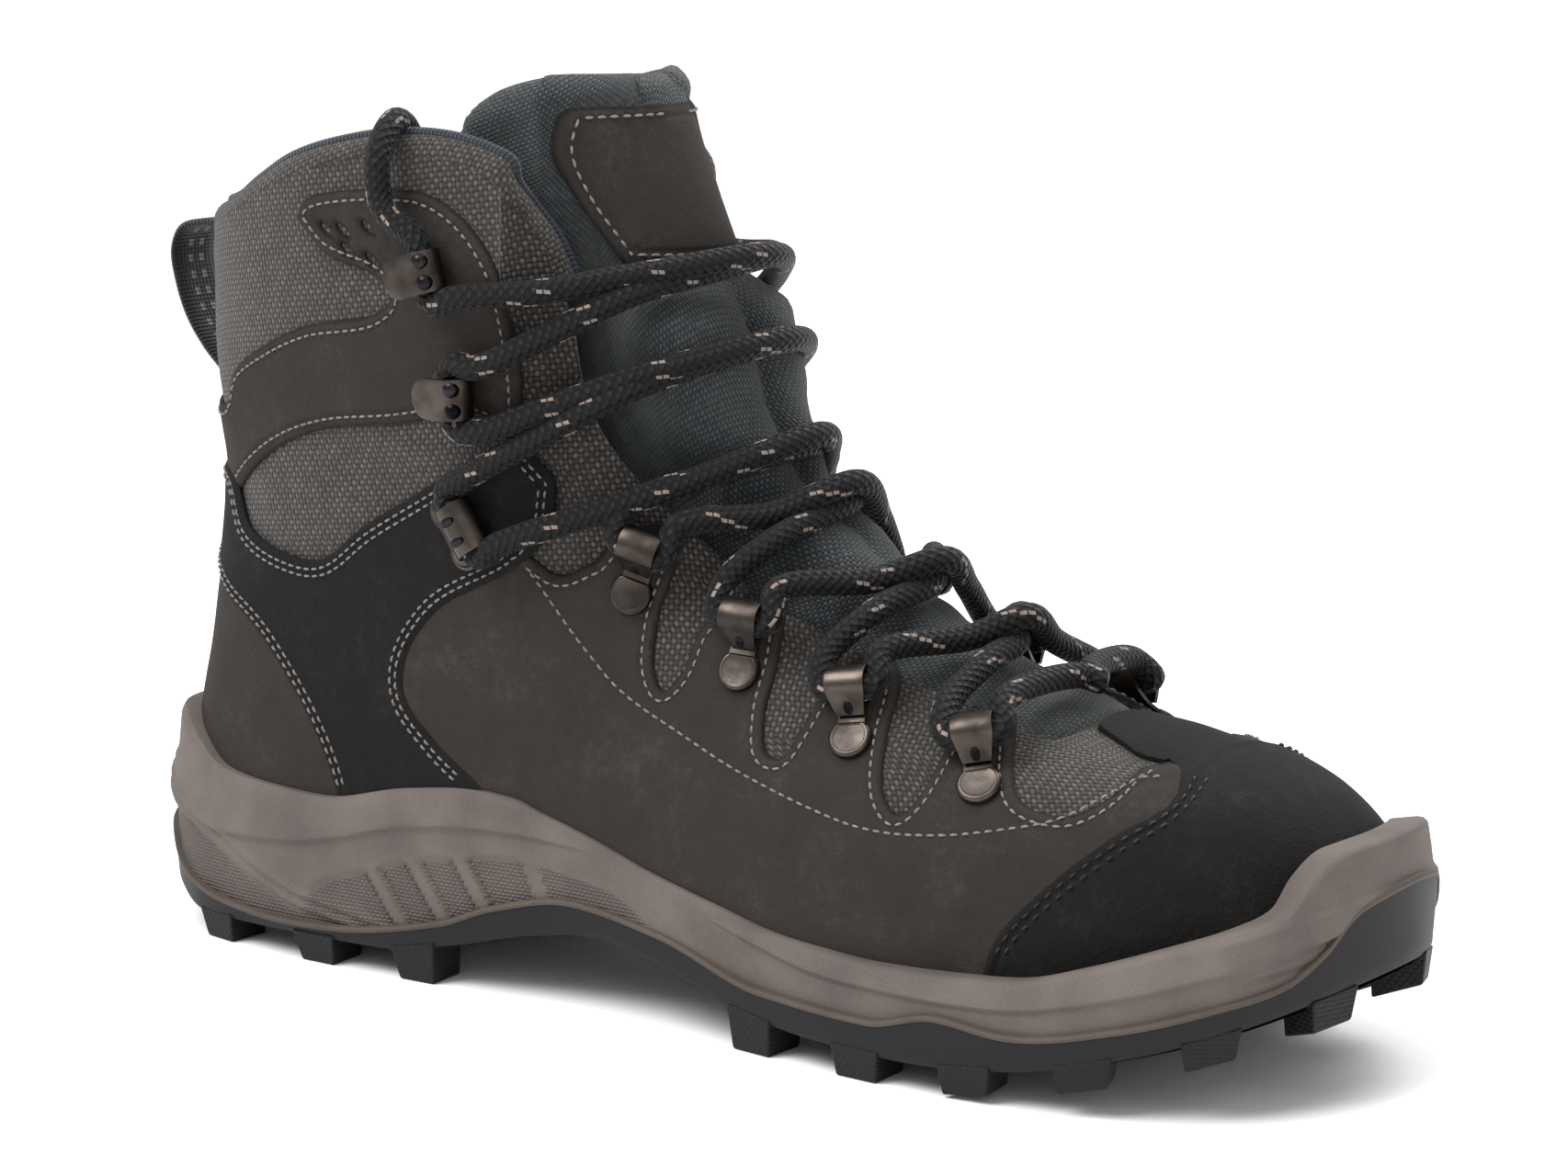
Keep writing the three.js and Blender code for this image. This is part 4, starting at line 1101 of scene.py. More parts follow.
@dataclass(frozen=True)
class Knit:
    """A knitted collar fabric: columns of small V loops that stretch over the padding."""

    name: str
    dark: str
    light: str
    wale: float  # width of a column of loops, in millimetres
    roughness: float = 0.78

    def build(self) -> bpy.types.Material:
        """Makes the material.

        Returns:
            The material.
        """
        g = Graph(self.name, Sheen_Weight=0.3, Sheen_Roughness=0.4, IOR=1.48, Specular_IOR_Level=0.3)
        split = g.add("SeparateXYZ", {0: g.pattern})
        columns = ridges(g, split.outputs[0], self.wale)
        rows = ridges(g, sums(g, (split.outputs[1], 1.0), (columns, 0.45 * self.wale)), 0.8 * self.wale)
        height = g.add("Math", {0: columns, 1: sums(g, (rows, 0.6), (1.0, 0.4))},
                       operation="MULTIPLY").outputs[0]
        blur = g.add("TexNoise", {"Vector": g.place, "Scale": per(2.5), "Detail": 3.0}).outputs[0]
        # Painted highlight on the loops and painted shade between them, from the bump's height.
        tone = g.add("MapRange", {0: sums(g, (height, 0.7), (blur, 0.5)), 1: 0.3, 2: 1.0}).outputs[0]
        return g.finish(g.add("Mix", {0: tone, 6: self.dark, 7: self.light}, data_type="RGBA").outputs[2],
                        self.roughness, height, 0.3)


@dataclass(frozen=True)
class Moulded:
    """Moulded polyurethane foam or vulcanised rubber, with a knurl where the mould was engraved.

    Polyurethane gives a chalky matt skin; rubber a darker one with a faint gleam. The pattern's third value
    says where the knurl is; its dashes are a little longer than wide, with painted shade in the valleys between them.
    """

    name: str
    dark: str
    base: str
    dash: float  # length of a knurl dash, in millimetres
    knurl: float  # how much painted shade darkens the knurl's valleys
    roughness: float = 0.7
    relief: float = 0.5
    skin: float = 0.12

    def build(self) -> bpy.types.Material:
        """Makes the material.

        Returns:
            The material.
        """
        g = Graph(self.name, IOR=1.5, Specular_IOR_Level=0.25)
        split = g.add("SeparateXYZ", {0: g.pattern})
        mask = split.outputs[2]
        rows = ridges(g, split.outputs[1], 0.62 * self.dash)
        row = g.add("Math", {0: split.outputs[1], 1: 0.62 * self.dash}, operation="DIVIDE").outputs[0]
        step = g.add("Math", {0: row}, operation="FLOOR").outputs[0]
        shift = g.add("Math", {0: step, 1: math.pi / 2}, operation="MULTIPLY").outputs[0]
        dashes = ridges(g, split.outputs[0], self.dash, shift)
        grain = g.add("Math", {0: rows, 1: dashes}, operation="MULTIPLY").outputs[0]
        grain = g.add("Math", {0: grain, 1: 0.5}, operation="POWER").outputs[0]
        grain = g.add("Math", {0: grain, 1: mask}, operation="MULTIPLY").outputs[0]
        blotch = g.add("TexNoise", {"Vector": g.place, "Scale": per(18.0), "Detail": 5.0}).outputs[0]
        fine = g.add("TexNoise", {"Vector": g.place, "Scale": per(0.5), "Detail": 2.0}).outputs[0]
        tone = g.add("MapRange", {0: sums(g, (blotch, 0.8), (fine, 0.3)), 1: 0.35, 2: 0.75}).outputs[0]
        colour = g.add("Mix", {0: tone, 6: self.dark, 7: self.base}, data_type="RGBA").outputs[2]
        # Painted shade in the knurl's valleys, between its dashes.
        valley = g.add("Math", {0: mask, 1: grain}, operation="SUBTRACT").outputs[0]
        shade = g.add("Math", {0: valley, 1: self.knurl}, operation="MULTIPLY", use_clamp=True).outputs[0]
        height = sums(g, (grain, 0.8), (fine, self.skin))
        rough = g.add("MapRange", {0: blotch, 1: 0.3, 2: 0.7, 3: self.roughness - 0.06,
                                   4: self.roughness + 0.06})
        return g.finish(g.add("Mix", {0: shade, 6: colour, 7: self.dark}, data_type="RGBA").outputs[2],
                        rough.outputs[0], height, self.relief)


@dataclass(frozen=True)
class AntiqueMetal:
    """Stamped steel with an antique gunmetal plating: brown-grey, half matt, with a darker patina."""

    name: str
    patina: str
    metal: str
    roughness: float = 0.34

    def build(self) -> bpy.types.Material:
        """Makes the material.

        Returns:
            The material.
        """
        g = Graph(self.name, Metallic=1.0)
        patches = g.add("TexNoise", {"Vector": g.place, "Scale": per(7.0), "Detail": 4.0}).outputs[0]
        fine = g.add("TexNoise", {"Vector": g.place, "Scale": per(0.4), "Detail": 2.0}).outputs[0]
        tone = g.add("MapRange", {0: patches, 1: 0.35, 2: 0.6}).outputs[0]
        rough = g.add("MapRange", {0: patches, 1: 0.3, 2: 0.7, 3: self.roughness + 0.12,
                                   4: self.roughness - 0.06})
        return g.finish(g.add("Mix", {0: tone, 6: self.patina, 7: self.metal}, data_type="RGBA").outputs[2],
                        rough.outputs[0], fine, 0.03)


@dataclass(frozen=True)
class Braid:
    """A round braided polyester cord. Its pattern is the distance along it and round it, in millimetres.

    The strands make a lattice of small slanted lozenges; pale tracer yarns show as pairs of flecks that
    step round the cord, one group in each repeat.
    """

    name: str
    gap_shade: str
    yarn: str
    fleck: str
    girth: float
    strands: int = 16
    repeat: float = 24.0

    def build(self) -> bpy.types.Material:
        """Makes the material.

        Returns:
            The material.
        """
        g = Graph(self.name, Sheen_Weight=0.05, Sheen_Roughness=0.35, IOR=1.5, Specular_IOR_Level=0.2)
        split = g.add("SeparateXYZ", {0: g.pattern})
        strand = self.girth / self.strands
        p = ridges(g, sums(g, (split.outputs[0], 1.0), (split.outputs[1], 1.0)), 2 * strand)
        q = ridges(g, sums(g, (split.outputs[0], 1.0), (split.outputs[1], -1.0)), 2 * strand)
        low = g.add("Math", {0: p, 1: q}, operation="MINIMUM").outputs[0]
        high = g.add("Math", {0: p, 1: q}, operation="MAXIMUM").outputs[0]
        height = sums(g, (low, 0.7), (high, 0.3))
        fuzz = g.add("TexNoise", {"Vector": g.place, "Scale": per(0.7), "Detail": 2.0}).outputs[0]
        # Painted shade in the hollows between the strands and a painted highlight on their crests, from the bump's
        # height.
        tone = g.add("MapRange", {0: sums(g, (height, 0.8), (fuzz, 0.4)), 1: 0.35, 2: 1.05}).outputs[0]
        colour = g.add("Mix", {0: tone, 6: self.gap_shade, 7: self.yarn}, data_type="RGBA").outputs[2]
        s = g.add("Math", {0: split.outputs[0], 1: self.repeat}, operation="MODULO").outputs[0]
        step = g.add("Math", {0: s, 1: 3.1}, operation="DIVIDE").outputs[0]
        first = g.add("Math", {0: step, 1: 3.0}, operation="LESS_THAN").outputs[0]
        halves = g.add("Math", {0: g.add("Math", {0: step, 1: 2.0}, operation="MULTIPLY").outputs[0]},
                       operation="FRACT").outputs[0]
        within = g.add("Math", {0: halves, 1: 0.5, 2: 0.4}, operation="COMPARE").outputs[0]
        # The flecks stand at two places round the cord, so that some always show, and lean with the strands.
        number = g.add("Math", {0: step}, operation="FLOOR").outputs[0]
        around = sums(g, (split.outputs[1], 1.0), (number, -0.9), (step, -0.7))
        folded = g.add("Math", {0: g.add("Math", {0: around, 1: self.girth / 2},
                                         operation="MODULO").outputs[0]},
                       operation="ABSOLUTE").outputs[0]
        lane = g.add("Math", {0: folded, 1: 2.6, 2: 0.42}, operation="COMPARE").outputs[0]
        mark = g.add("Math", {0: g.add("Math", {0: first, 1: within}, operation="MULTIPLY").outputs[0],
                              1: lane},
                     operation="MULTIPLY").outputs[0]
        return g.finish(g.add("Mix", {0: mark, 6: colour, 7: self.fleck}, data_type="RGBA").outputs[2], 0.6,
                        height, 0.45)


@dataclass(frozen=True)
class Webbing:
    """Woven nylon tape: fine ribs across it, and a row of pale dashes along the middle."""

    name: str
    dark: str
    rib: str
    dash: str

    def build(self) -> bpy.types.Material:
        """Makes the material; the pattern is the distance along and across the tape.

        Returns:
            The material.
        """
        g = Graph(self.name, Sheen_Weight=0.2, Sheen_Roughness=0.4, IOR=1.5, Specular_IOR_Level=0.35)
        split = g.add("SeparateXYZ", {0: g.pattern})
        ribs = ridges(g, split.outputs[0], 1.0)
        cords = ridges(g, split.outputs[1], 1.2)
        height = sums(g, (ribs, 0.7), (cords, 0.3))
        across = g.add("Math", {0: split.outputs[1]}, operation="ABSOLUTE").outputs[0]
        band = g.add("Math", {0: across, 1: 1.9, 2: 0.75}, operation="COMPARE").outputs[0]
        length = g.add("Math", {0: split.outputs[0], 1: 4.0}, operation="MODULO").outputs[0]
        mark = g.add("Math", {0: length, 1: 2.0}, operation="LESS_THAN").outputs[0]
        dashes = g.add("Math", {0: band, 1: mark}, operation="MULTIPLY").outputs[0]
        # Painted highlight on the ribs' crests and painted shade between them, from the bump's height.
        colour = g.add("Mix", {0: g.add("MapRange", {0: height, 1: 0.3, 2: 1.0}).outputs[0], 6: self.dark,
                               7: self.rib}, data_type="RGBA").outputs[2]
        lit = g.add("Math", {0: dashes, 1: g.add("MapRange", {0: ribs, 1: 0.0, 2: 0.6}).outputs[0]},
                    operation="MULTIPLY").outputs[0]
        return g.finish(g.add("Mix", {0: lit, 6: colour, 7: self.dash}, data_type="RGBA").outputs[2], 0.75,
                        height, 0.35)


@dataclass(frozen=True)
class Plain:
    """A small or hidden part: thread, board or moulded plastic, with its own fine grain."""

    name: str
    dark: str
    base: str
    grain: float
    roughness: float
    relief: float = 0.08

    def build(self) -> bpy.types.Material:
        """Makes the material.

        Returns:
            The material.
        """
        g = Graph(self.name, IOR=1.48, Specular_IOR_Level=0.35)
        grain = g.add("TexNoise", {"Vector": g.place, "Scale": per(self.grain), "Detail": 4.0}).outputs[0]
        tone = g.add("MapRange", {0: grain, 1: 0.35, 2: 0.65}).outputs[0]
        return g.finish(g.add("Mix", {0: tone, 6: self.dark, 7: self.base}, data_type="RGBA").outputs[2],
                        self.roughness, grain, self.relief)


class Finishes:
    """Every finish on the boot."""

    def __init__(self) -> None:
        """Makes the materials once, for all the pieces to share."""
        self.nubuck = Nap("nubuck", "#24201e", "#302b28", "#3f3833", nap=0.55).build()
        self.suede = Nap("black_suede", "#0b0909", "#141211", "#24211f", nap=0.7, seam=2.7, sheen=0.06,
                         relief=0.5).build()
        # A coarse hopsack of thick mixed yarns, about 1.2 mm a thread.
        self.textile = Weave("hopsack_textile", "#0d0b0a", "#5d5650", "#3b3530", pitch=1.2,
                             slant=0.12).build()
        self.tongue = Weave("tongue_textile", "#0a0b0d", "#4a5255", "#2a3033", pitch=0.9, slant=0.3).build()
        self.knit = Knit("collar_knit", "#12151c", "#2c313e", wale=1.1).build()
        self.lining = Weave("lining_mesh", "#101114", "#2b2e36", "#22252c", pitch=1.5, relief=0.25).build()
        self.foam = Plain("footbed_fabric", "#1d1d20", "#2c2c31", grain=0.8, roughness=0.9,
                          relief=0.2).build()
        self.midsole = Moulded("moulded_polyurethane", "#4d4643", "#665e59", dash=1.3, knurl=0.55).build()
        self.rubber = Moulded("carbon_rubber", "#0e0e10", "#18181b", dash=1.6, knurl=0.3, roughness=0.58,
                              relief=0.4).build()
        self.lip = Moulded("bonding_lip", "#3d3630", "#544b44", dash=1.6, knurl=0.0, roughness=0.65).build()
        self.metal = AntiqueMetal("antique_gunmetal", "#35302d", "#4f4843").build()
        # Black steel for the hook studs; the same finish paints the shade in the ring and cleat openings.
        self.black_metal = AntiqueMetal("black_plated_steel", "#121214", "#2e2d2e", roughness=0.24).build()
        self.braid = Braid("braided_lace", "#030304", "#0f0f11", "#85776f",
                           girth=math.pi * LACE_DIAMETER).build()
        self.webbing = Webbing("loop_webbing", "#08080a", "#1b1b1e", "#6f7175").build()
        self.thread = Plain("grey_thread", "#5b5855", "#86827e", grain=0.4, roughness=0.6).build()
        self.black_thread = Plain("black_thread", "#0e0e0f", "#242425", grain=0.4, roughness=0.5).build()
        self.plastic = Plain("aglet_plastic", "#0c0c0d", "#171718", grain=4.0, roughness=0.25,
                             relief=0.01).build()
        self.board = Plain("fibre_board", "#26231f", "#39342d", grain=0.9, roughness=0.92).build()


# ---- The upper ------------------------------------------------------------------------------


def heights(base: float, thick: float, skive: float) -> Callable[[Array, Array], Array]:
    """The outer face of a piece whose edge is skived down over a short way."""
    return lambda point, depth: base - thick * 0.55 * (1 - np.clip(depth / skive, 0, 1)) ** 2


def level(value: float) -> Callable[[Array, Array], Array]:
    """A face at one height."""
    return lambda point, depth: np.full(len(point), value)


@dataclass
class Seam:
    """One row of stitches, as a closed outline's inset or an open line, in the side view."""

    line: Array
    lift: float
    black: bool = False
    pitch: float = 2.5


@dataclass
class Upper:
    """The leather and textile upper, with its collar, lining and stitching."""

    last: Last
    skin: Skin
    shop: Workshop
    looks: Finishes
    overlay: float = 0.75  # how far suede and toe cap stand above the nubuck
    collar_roll: float = 9.5
    piping: float = 1.3
    stitch_length: float = 1.8
    stitch_radius: float = 0.29

    CUFF_TOP = [(-20, 163), (9, 163), (29, 166), (41, 171), (53, 176), (67, 180), (86, 183), (104, 182),
                (117, 177), (122, 169), (126, 158)]
    THROAT = [(129, 150), (134, 130), (147, 112), (168, 94), (186, 86), (207, 78), (227, 72), (238, 69)]
    CUFF_BASE = ((-20, 118), (30, 118), (70, 126), (100, 132), (140, 140))
    TOE_CAP = [
        [(238, 90), (241, 70.3)],
        [(250, 67.8), (257, 66), (264, 64.5), (268, 60), (261, 54), (248, 42), (240, 32), (237, 22)],
        [(236, -20)], [(340, -20)], [(340, 90)],
    ]
    SUEDE = [
        [(-20, 109), (10, 109)],
        [(27, 107), (34, 96), (51, 91), (60, 91.5), (75, 101), (97, 113), (118, 124)],
        [(127, 115)], [(126, 105)],
        [(118, 96), (94, 83), (85, 71), (85, 63), (94, 54), (109, 43), (112, 30)],
        [(112, -20)], [(62, -20)],
        [(64, 40), (42, 70), (25, 79), (10, 86), (-20, 87)],
    ]
    HEEL = [[(-20, 95)], [(10, 95)], [(30, 85)], [(52, 68)], [(74, 40)], [(74, -20)], [(-20, -20)]]
    CUFF = [
        [(-20, 128), (10, 125)],
        [(26, 123), (31, 131), (44, 138), (60, 144), (81, 148), (86, 152), (83, 156), (67, 161), (59, 168)],
        [(62, 172), (86, 175.5), (98, 174.5), (108, 169), (116, 159), (119, 148), (120, 132), (118, 122)],
        [(109, 127), (84, 124), (63, 121), (46, 115), (28, 103)],
        [(10, 101)], [(-20, 101)],
    ]
    VAMP = [
        [(118, 99)], [(127, 94.5), (136, 98)],
        [(142, 105), (149, 106), (152, 100), (149.5, 86), (150, 76), (153, 72), (157, 76), (160, 86),
         (167, 91)],
        [(175, 91), (178, 82), (178.5, 70), (181, 62.5), (185, 62), (188, 68), (191, 79)],
        [(198, 82), (204, 78), (207, 68), (211, 58), (215.5, 54.5), (219, 58), (220.5, 68)],
        [(225, 72.4), (231, 69.8), (235, 65), (240, 59.5), (246, 57.5), (252, 57.5), (257, 61), (258, 65.3)],
        [(272, 66)], [(272, -20)], [(100, -20)], [(80, 60)], [(84, 84)],
    ]
    VENTS = ((68, 166), (73, 166), (80, 167), (74, 162), (81, 160))
    DECOR = ((120, 95), (135, 78), (143, 71), (159, 64), (176, 58), (196, 53), (208, 51), (222, 51),
             (241, 54),
             (251, 57), (262, 65))

    def __post_init__(self) -> None:
        """Draws the outlines and the curves that pieces end on."""
        self.outlines = {name: Outline(getattr(self, name)) for name in ("TOE_CAP", "SUEDE", "HEEL", "CUFF",
                                                                         "VAMP")}
        self.body = Outline([self.CUFF_TOP, self.THROAT, [(262, 78)], [(276, 60)], [(276, -20)],
                             [(-20, -20)]])
        self.sole_top = Sole.MIDSOLE_TOP
        self.cuff_base = Curve(self.CUFF_BASE)

    def above_sole(self, places: Array, hidden: float = 9.0) -> Array:
        """How far above its hidden lower edge a place is; the upper runs down inside the midsole."""
        return places[:, 1] - (self.sole_top(places[:, 0]) - hidden)

    def lay(self, name: str, sides: Sequence[Side], hole: Callable[[Array], Array] | None = None) -> Cut:
        """Cuts a named outline from the skin.

        Args:
            name: The outline.
            sides: The sides it covers.
            hole: The depth inside what is cut away, if anything.

        Returns:
            The piece.
        """
        outline = self.outlines[name] if name in self.outlines else self.body

        def depth(places: Array, side: Side) -> Array:
            """How deep inside the piece each place is."""
            inside = np.minimum(outline.depth(places), self.above_sole(places))
            return inside if hole is None else np.minimum(inside, -hole(places))

        return Cut.lay(self.skin, sides, depth)

    def vents(self, places: Array) -> Array:
        """The depth inside the nearest vent slit.

        Args:
            places: (x, z) rows.

        Returns:
            The depths; below zero is outside.
        """
        tilt = math.radians(-35)
        turned = np.array([[math.cos(tilt), -math.sin(tilt)], [math.sin(tilt), math.cos(tilt)]])
        best = np.full(len(places), -1e3)
        for vent in self.VENTS:
            local = (places - np.array(vent)) @ turned
            best = np.maximum(best, 1.0 - np.hypot(local[:, 0] / 2.3, local[:, 1]))
        return best

    def creases(self, point: Array) -> Array:
        """Soft waves in the leather where the ankle and the ball of the foot flex.

        Args:
            point: Points on the last.

        Returns:
            How far each is lifted.
        """
        x, y, z = point.T
        ankle = np.exp(-(((x - 78) / 34) ** 2) - ((z - 108) / 26) ** 2)
        ball = np.exp(-(((x - 225) / 22) ** 2) - ((z - 46) / 16) ** 2)
        wave = np.sin(0.21 * z + 0.09 * x + 0.5 * np.sin(0.06 * x)) * ankle * 0.35
        wave += np.sin(0.42 * x - 0.18 * z + 0.02 * y) * ball * 0.25
        return wave + 0.12 * np.sin(0.11 * x + 1.3) * np.sin(0.13 * z + 0.7)

    def make_panels(self) -> None:
        """Lays the textile, the nubuck, the suede and the toe cap over one another."""
        looks, both = self.looks, (Side.OUTER, Side.INNER)

        def bulged(base: float, thick: float, skive: float) -> Callable[[Array, Array], Array]:
            """A skived outer face that also follows the creases."""
            edge = heights(base, thick, skive)
            return lambda point, depth: edge(point, depth) + self.creases(point)

        for side in both:
            word = side.name.lower()
            cut = self.lay("body", [side])
            puffed = lambda point, depth: -TEXTILE_DEPTH + self.creases(point) + 0.25 * smoothstep(0, 8,
                                                                                                   depth)
            self.shop.piece(f"textile_{word}", cut.shell(puffed, level(-3.0)), looks.textile,
                            "upper_textile",
                            replaces=[f"textile_quarter_{word}"])
            vamp = self.lay("VAMP", [side])
            self.shop.piece(f"nubuck_vamp_{word}", vamp.shell(bulged(0.1, 1.5, 1.6), level(-1.7)),
                            looks.nubuck,
                            "nubuck", replaces=[f"vamp_{word}"])
            cuff = self.lay("CUFF", [side], self.vents)
            self.shop.piece(f"nubuck_cuff_{word}", cuff.shell(bulged(0.1, 1.5, 1.6), level(-1.7)),
                            looks.nubuck,
                            "nubuck", replaces=[f"cuff_overlay_{word}"])
            ankle = self.lay("SUEDE", [side])
            self.shop.piece(f"suede_ankle_{word}", ankle.shell(bulged(self.overlay, 1.5, 1.8), level(-0.6)),
                            looks.suede, "black_suede", replaces=[f"ankle_overlay_{word}"])
        heel = self.lay("HEEL", both)
        self.shop.piece("nubuck_heel", heel.shell(bulged(0.1, 1.5, 1.6), level(-1.7)), looks.nubuck,
                        "nubuck",
                        replaces=["heel_panel"])
        cap = self.lay("TOE_CAP", both)
        self.shop.piece("suede_toe_cap", cap.shell(heights(self.overlay, 1.6, 2.2), level(-1.7)),
                        looks.suede,
                        "black_suede", replaces=["toe_cap"])

    def make_lining(self) -> None:
        """The lining behind the textile, down to the footbed."""

        def depth(places: Array, side: Side) -> Array:
            """Inside the collar line and the throat, with the toe closed."""
            outline = Outline([self.CUFF_TOP, self.THROAT, [(262, 80)], [(340, 80)], [(340, -20)],
                               [(-20, -20)]])
            return np.minimum(outline.depth(places) - 1.2, self.above_sole(places, 10.0))

        cut = Cut.lay(self.skin, (Side.OUTER, Side.INNER), depth)
        shell = cut.shell(level(-3.3), level(-4.5))
        self.shop.piece("inner_lining", shell, self.looks.lining, "foam", replaces=["lining"])

    def make_collar(self) -> None:
        """The padded collar: a roll over the rim, and the lining of the cuff down inside."""
        line = evenly(through(np.array(self.CUFF_TOP[1:]), 12), 1.2)
        back = 9.02 + 9.0 * (1 - np.cos(np.linspace(0, math.pi / 2, 24)))
        back = np.column_stack([back, np.interp(back, line[:, 0], line[:, 1])])
        x, z = np.vstack([back, line[line[:, 0] > 18.3]]).T
        strips = []
        for side in (Side.OUTER, Side.INNER):
            point, normal = self.last.place(np.column_stack([x, z]), side)
            ahead = unit(np.gradient(point, axis=0))
            up = unit(np.cross(ahead, normal))
            up = up * np.sign(up[:, 2].mean())
            kernel = np.ones(9) / 9
            for vectors in (normal, up):
                padded = np.vstack([vectors[:1]] * 4 + [vectors] + [vectors[-1:]] * 4)
                vectors[:] = unit(np.stack([np.convolve(padded[:, k], kernel, "valid") for k in range(3)],
                                           1))
            half = self.collar_roll / 2
            rows = []
            for drop in (8.0, 4.0, 1.5):
                low, out = self.last.place(np.column_stack([x, z - drop]), side)
                rows.append(low - out * 2.6)
            centre = point - normal * (half + 1.3) - up * 1.0
            for angle in np.radians(np.arange(10, 171, 16)):
                rows.append(centre + normal * half * math.cos(angle) + up * (half + 0.6) * math.sin(angle))
            floor = self.cuff_base(x)
            for share in (0.06, 0.2, 0.4, 0.6, 0.8, 0.95, 1.0):
                height = z + (floor - z) * share
                low, out = self.last.place(np.column_stack([x, height]), side)
                bulge = 1.2 * math.sin(math.pi * share) * (0.6 + 0.4 * math.cos(math.pi * share))
                rows.append(low - out * (self.collar_roll + 1.2 + bulge))
            low, out = self.last.place(np.column_stack([x, floor - 1.5]), side)
            rows.append(low - out * 4.8)
            strips.append(np.array(rows))
        outer, inner = strips
        grid = np.concatenate([inner[:, ::-1], outer], axis=1)
        rows, columns = grid.shape[:2]
        run = along(grid[len(grid) // 3])
        across = np.array([along(grid[:, k]) for k in range(columns)]).T
        pattern = np.stack([np.broadcast_to(run, (rows, columns)), across, np.zeros((rows, columns))], -1)
        # The textile wraps the outside of the roll; the knit starts at a bead on its top.
        faces = [(*f[1:], f[0]) for f in quads(rows, columns)]
        bead = 8
        lower = [f for f in faces if min(f) < bead * columns]
        outside = Shell(grid.reshape(-1, 3)[: (bead + 1) * columns], lower,
                        pattern.reshape(-1, 3)[: (bead + 1) * columns], 60)
        self.shop.piece("collar_wrap", outside, self.looks.textile, "upper_textile")
        shell = Shell(grid.reshape(-1, 3), [f for f in faces if min(f) >= bead * columns],
                      pattern.reshape(-1, 3), 60)
        collar = self.shop.piece("padded_collar", shell, self.looks.knit, "collar_lining",
                                 replaces=["cuff_foam", "cuff_lining"])
        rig.padded(collar, fill=0.75)
        cord = tube(grid[bead], self.piping, 10)
        self.shop.piece("collar_piping", cord, self.looks.knit, "collar_lining")

    def seams(self) -> list[tuple[Seam, tuple[str, ...]]]:
        """Every stitched row, with the outlines that hide parts of it.

        Returns:
            The rows.
        """
        rows: list[tuple[Seam, tuple[str, ...]]] = []
        for amount in (1.9, 3.5):
            rows.append((Seam(self.outlines["SUEDE"].inset(amount), self.overlay), ()))
            rows.append((Seam(self.outlines["TOE_CAP"].inset(amount), self.overlay, black=True, pitch=3.2),
                         ()))
        rows.append((Seam(self.outlines["CUFF"].inset(2.2), 0.1), ("SUEDE",)))
        rows.append((Seam(self.outlines["VAMP"].inset(2.2), 0.1), ("SUEDE", "TOE_CAP")))
        rows.append((Seam(self.outlines["HEEL"].inset(2.2), 0.1), ("SUEDE",)))
        decor = evenly(through(np.array(self.DECOR), 10), 0.8)
        rows.append((Seam(decor, 0.1), ("SUEDE", "TOE_CAP")))
        return rows

    def make_stitches(self) -> None:
        """Lays every stitch that shows, as a short thread pulled down into the leather at both ends."""
        made: dict[bool, list[Shell]] = {False: [], True: []}
        for seam, covers in self.seams():
            for side in (Side.OUTER, Side.INNER):
                made[seam.black].extend(self.stitch_row(seam, covers, side))
        for black, shells in made.items():
            name, slot = ("black_stitching", "black_suede") if black else ("grey_stitching", "nubuck")
            finish = self.looks.black_thread if black else self.looks.thread
            self.shop.piece(name, join(shells), finish, slot)

    def stitch_row(self, seam: Seam, covers: tuple[str, ...], side: Side) -> list[Shell]:
        """The stitches of one row on one side.

        Args:
            seam: The row.
            covers: Outlines of pieces that lie over it.
            side: The side.

        Returns:
            One small shell a stitch.
        """
        places = seam.line
        point, normal = self.last.place(places, side, seam.lift)
        shown = ~np.isnan(point[:, 0]) & (self.above_sole(places, 0.0) > 1.5)
        if seam.black:
            shown &= np.abs(normal[:, 1]) > 0.2
        if np.any(places[:, 0] < 8):
            shown &= places[:, 0] > 7
        for name in covers:
            shown &= ~(self.outlines[name].depth(np.nan_to_num(places, nan=-99.0)) > -0.5)
        shells = []
        for start, end in spans(shown):
            line, out = point[start:end], normal[start:end]
            run = along(line)
            if run[-1] < seam.pitch:
                continue
            begins = np.arange(0.3, run[-1] - self.stitch_length, seam.pitch)
            marks = begins[:, None] + np.linspace(0, 1, 5)[None, :] * self.stitch_length
            spots = np.stack([np.interp(marks, run, line[:, k]) for k in range(3)], -1)
            ways = unit(np.stack([np.interp(marks, run, out[:, k]) for k in range(3)], -1))
            ways_up = np.array([-0.25, 0.1, 0.2, 0.1, -0.25])
            spots = spots + ways * ways_up[None, :,
                                           None] + ways * self.creases(spots.reshape(-1, 3)).reshape(
                spots.shape[:2])[..., None] * (0 if seam.black else 1)
            for spot, way in zip(spots, ways):
                shells.append(capsule(spot, way, self.stitch_radius * (1.35 if seam.black else 1.0)))
        return shells


def spans(flags: Array) -> list[tuple[int, int]]:
    """The runs of True in a row of flags, as (start, end).

    Args:
        flags: The flags.

    Returns:
        The runs longer than two.
    """
    padded = np.concatenate([[False], flags, [False]])
    edges = np.flatnonzero(padded[1:] != padded[:-1])
    return [(int(a), int(b)) for a, b in zip(edges[::2], edges[1::2]) if b - a > 2]


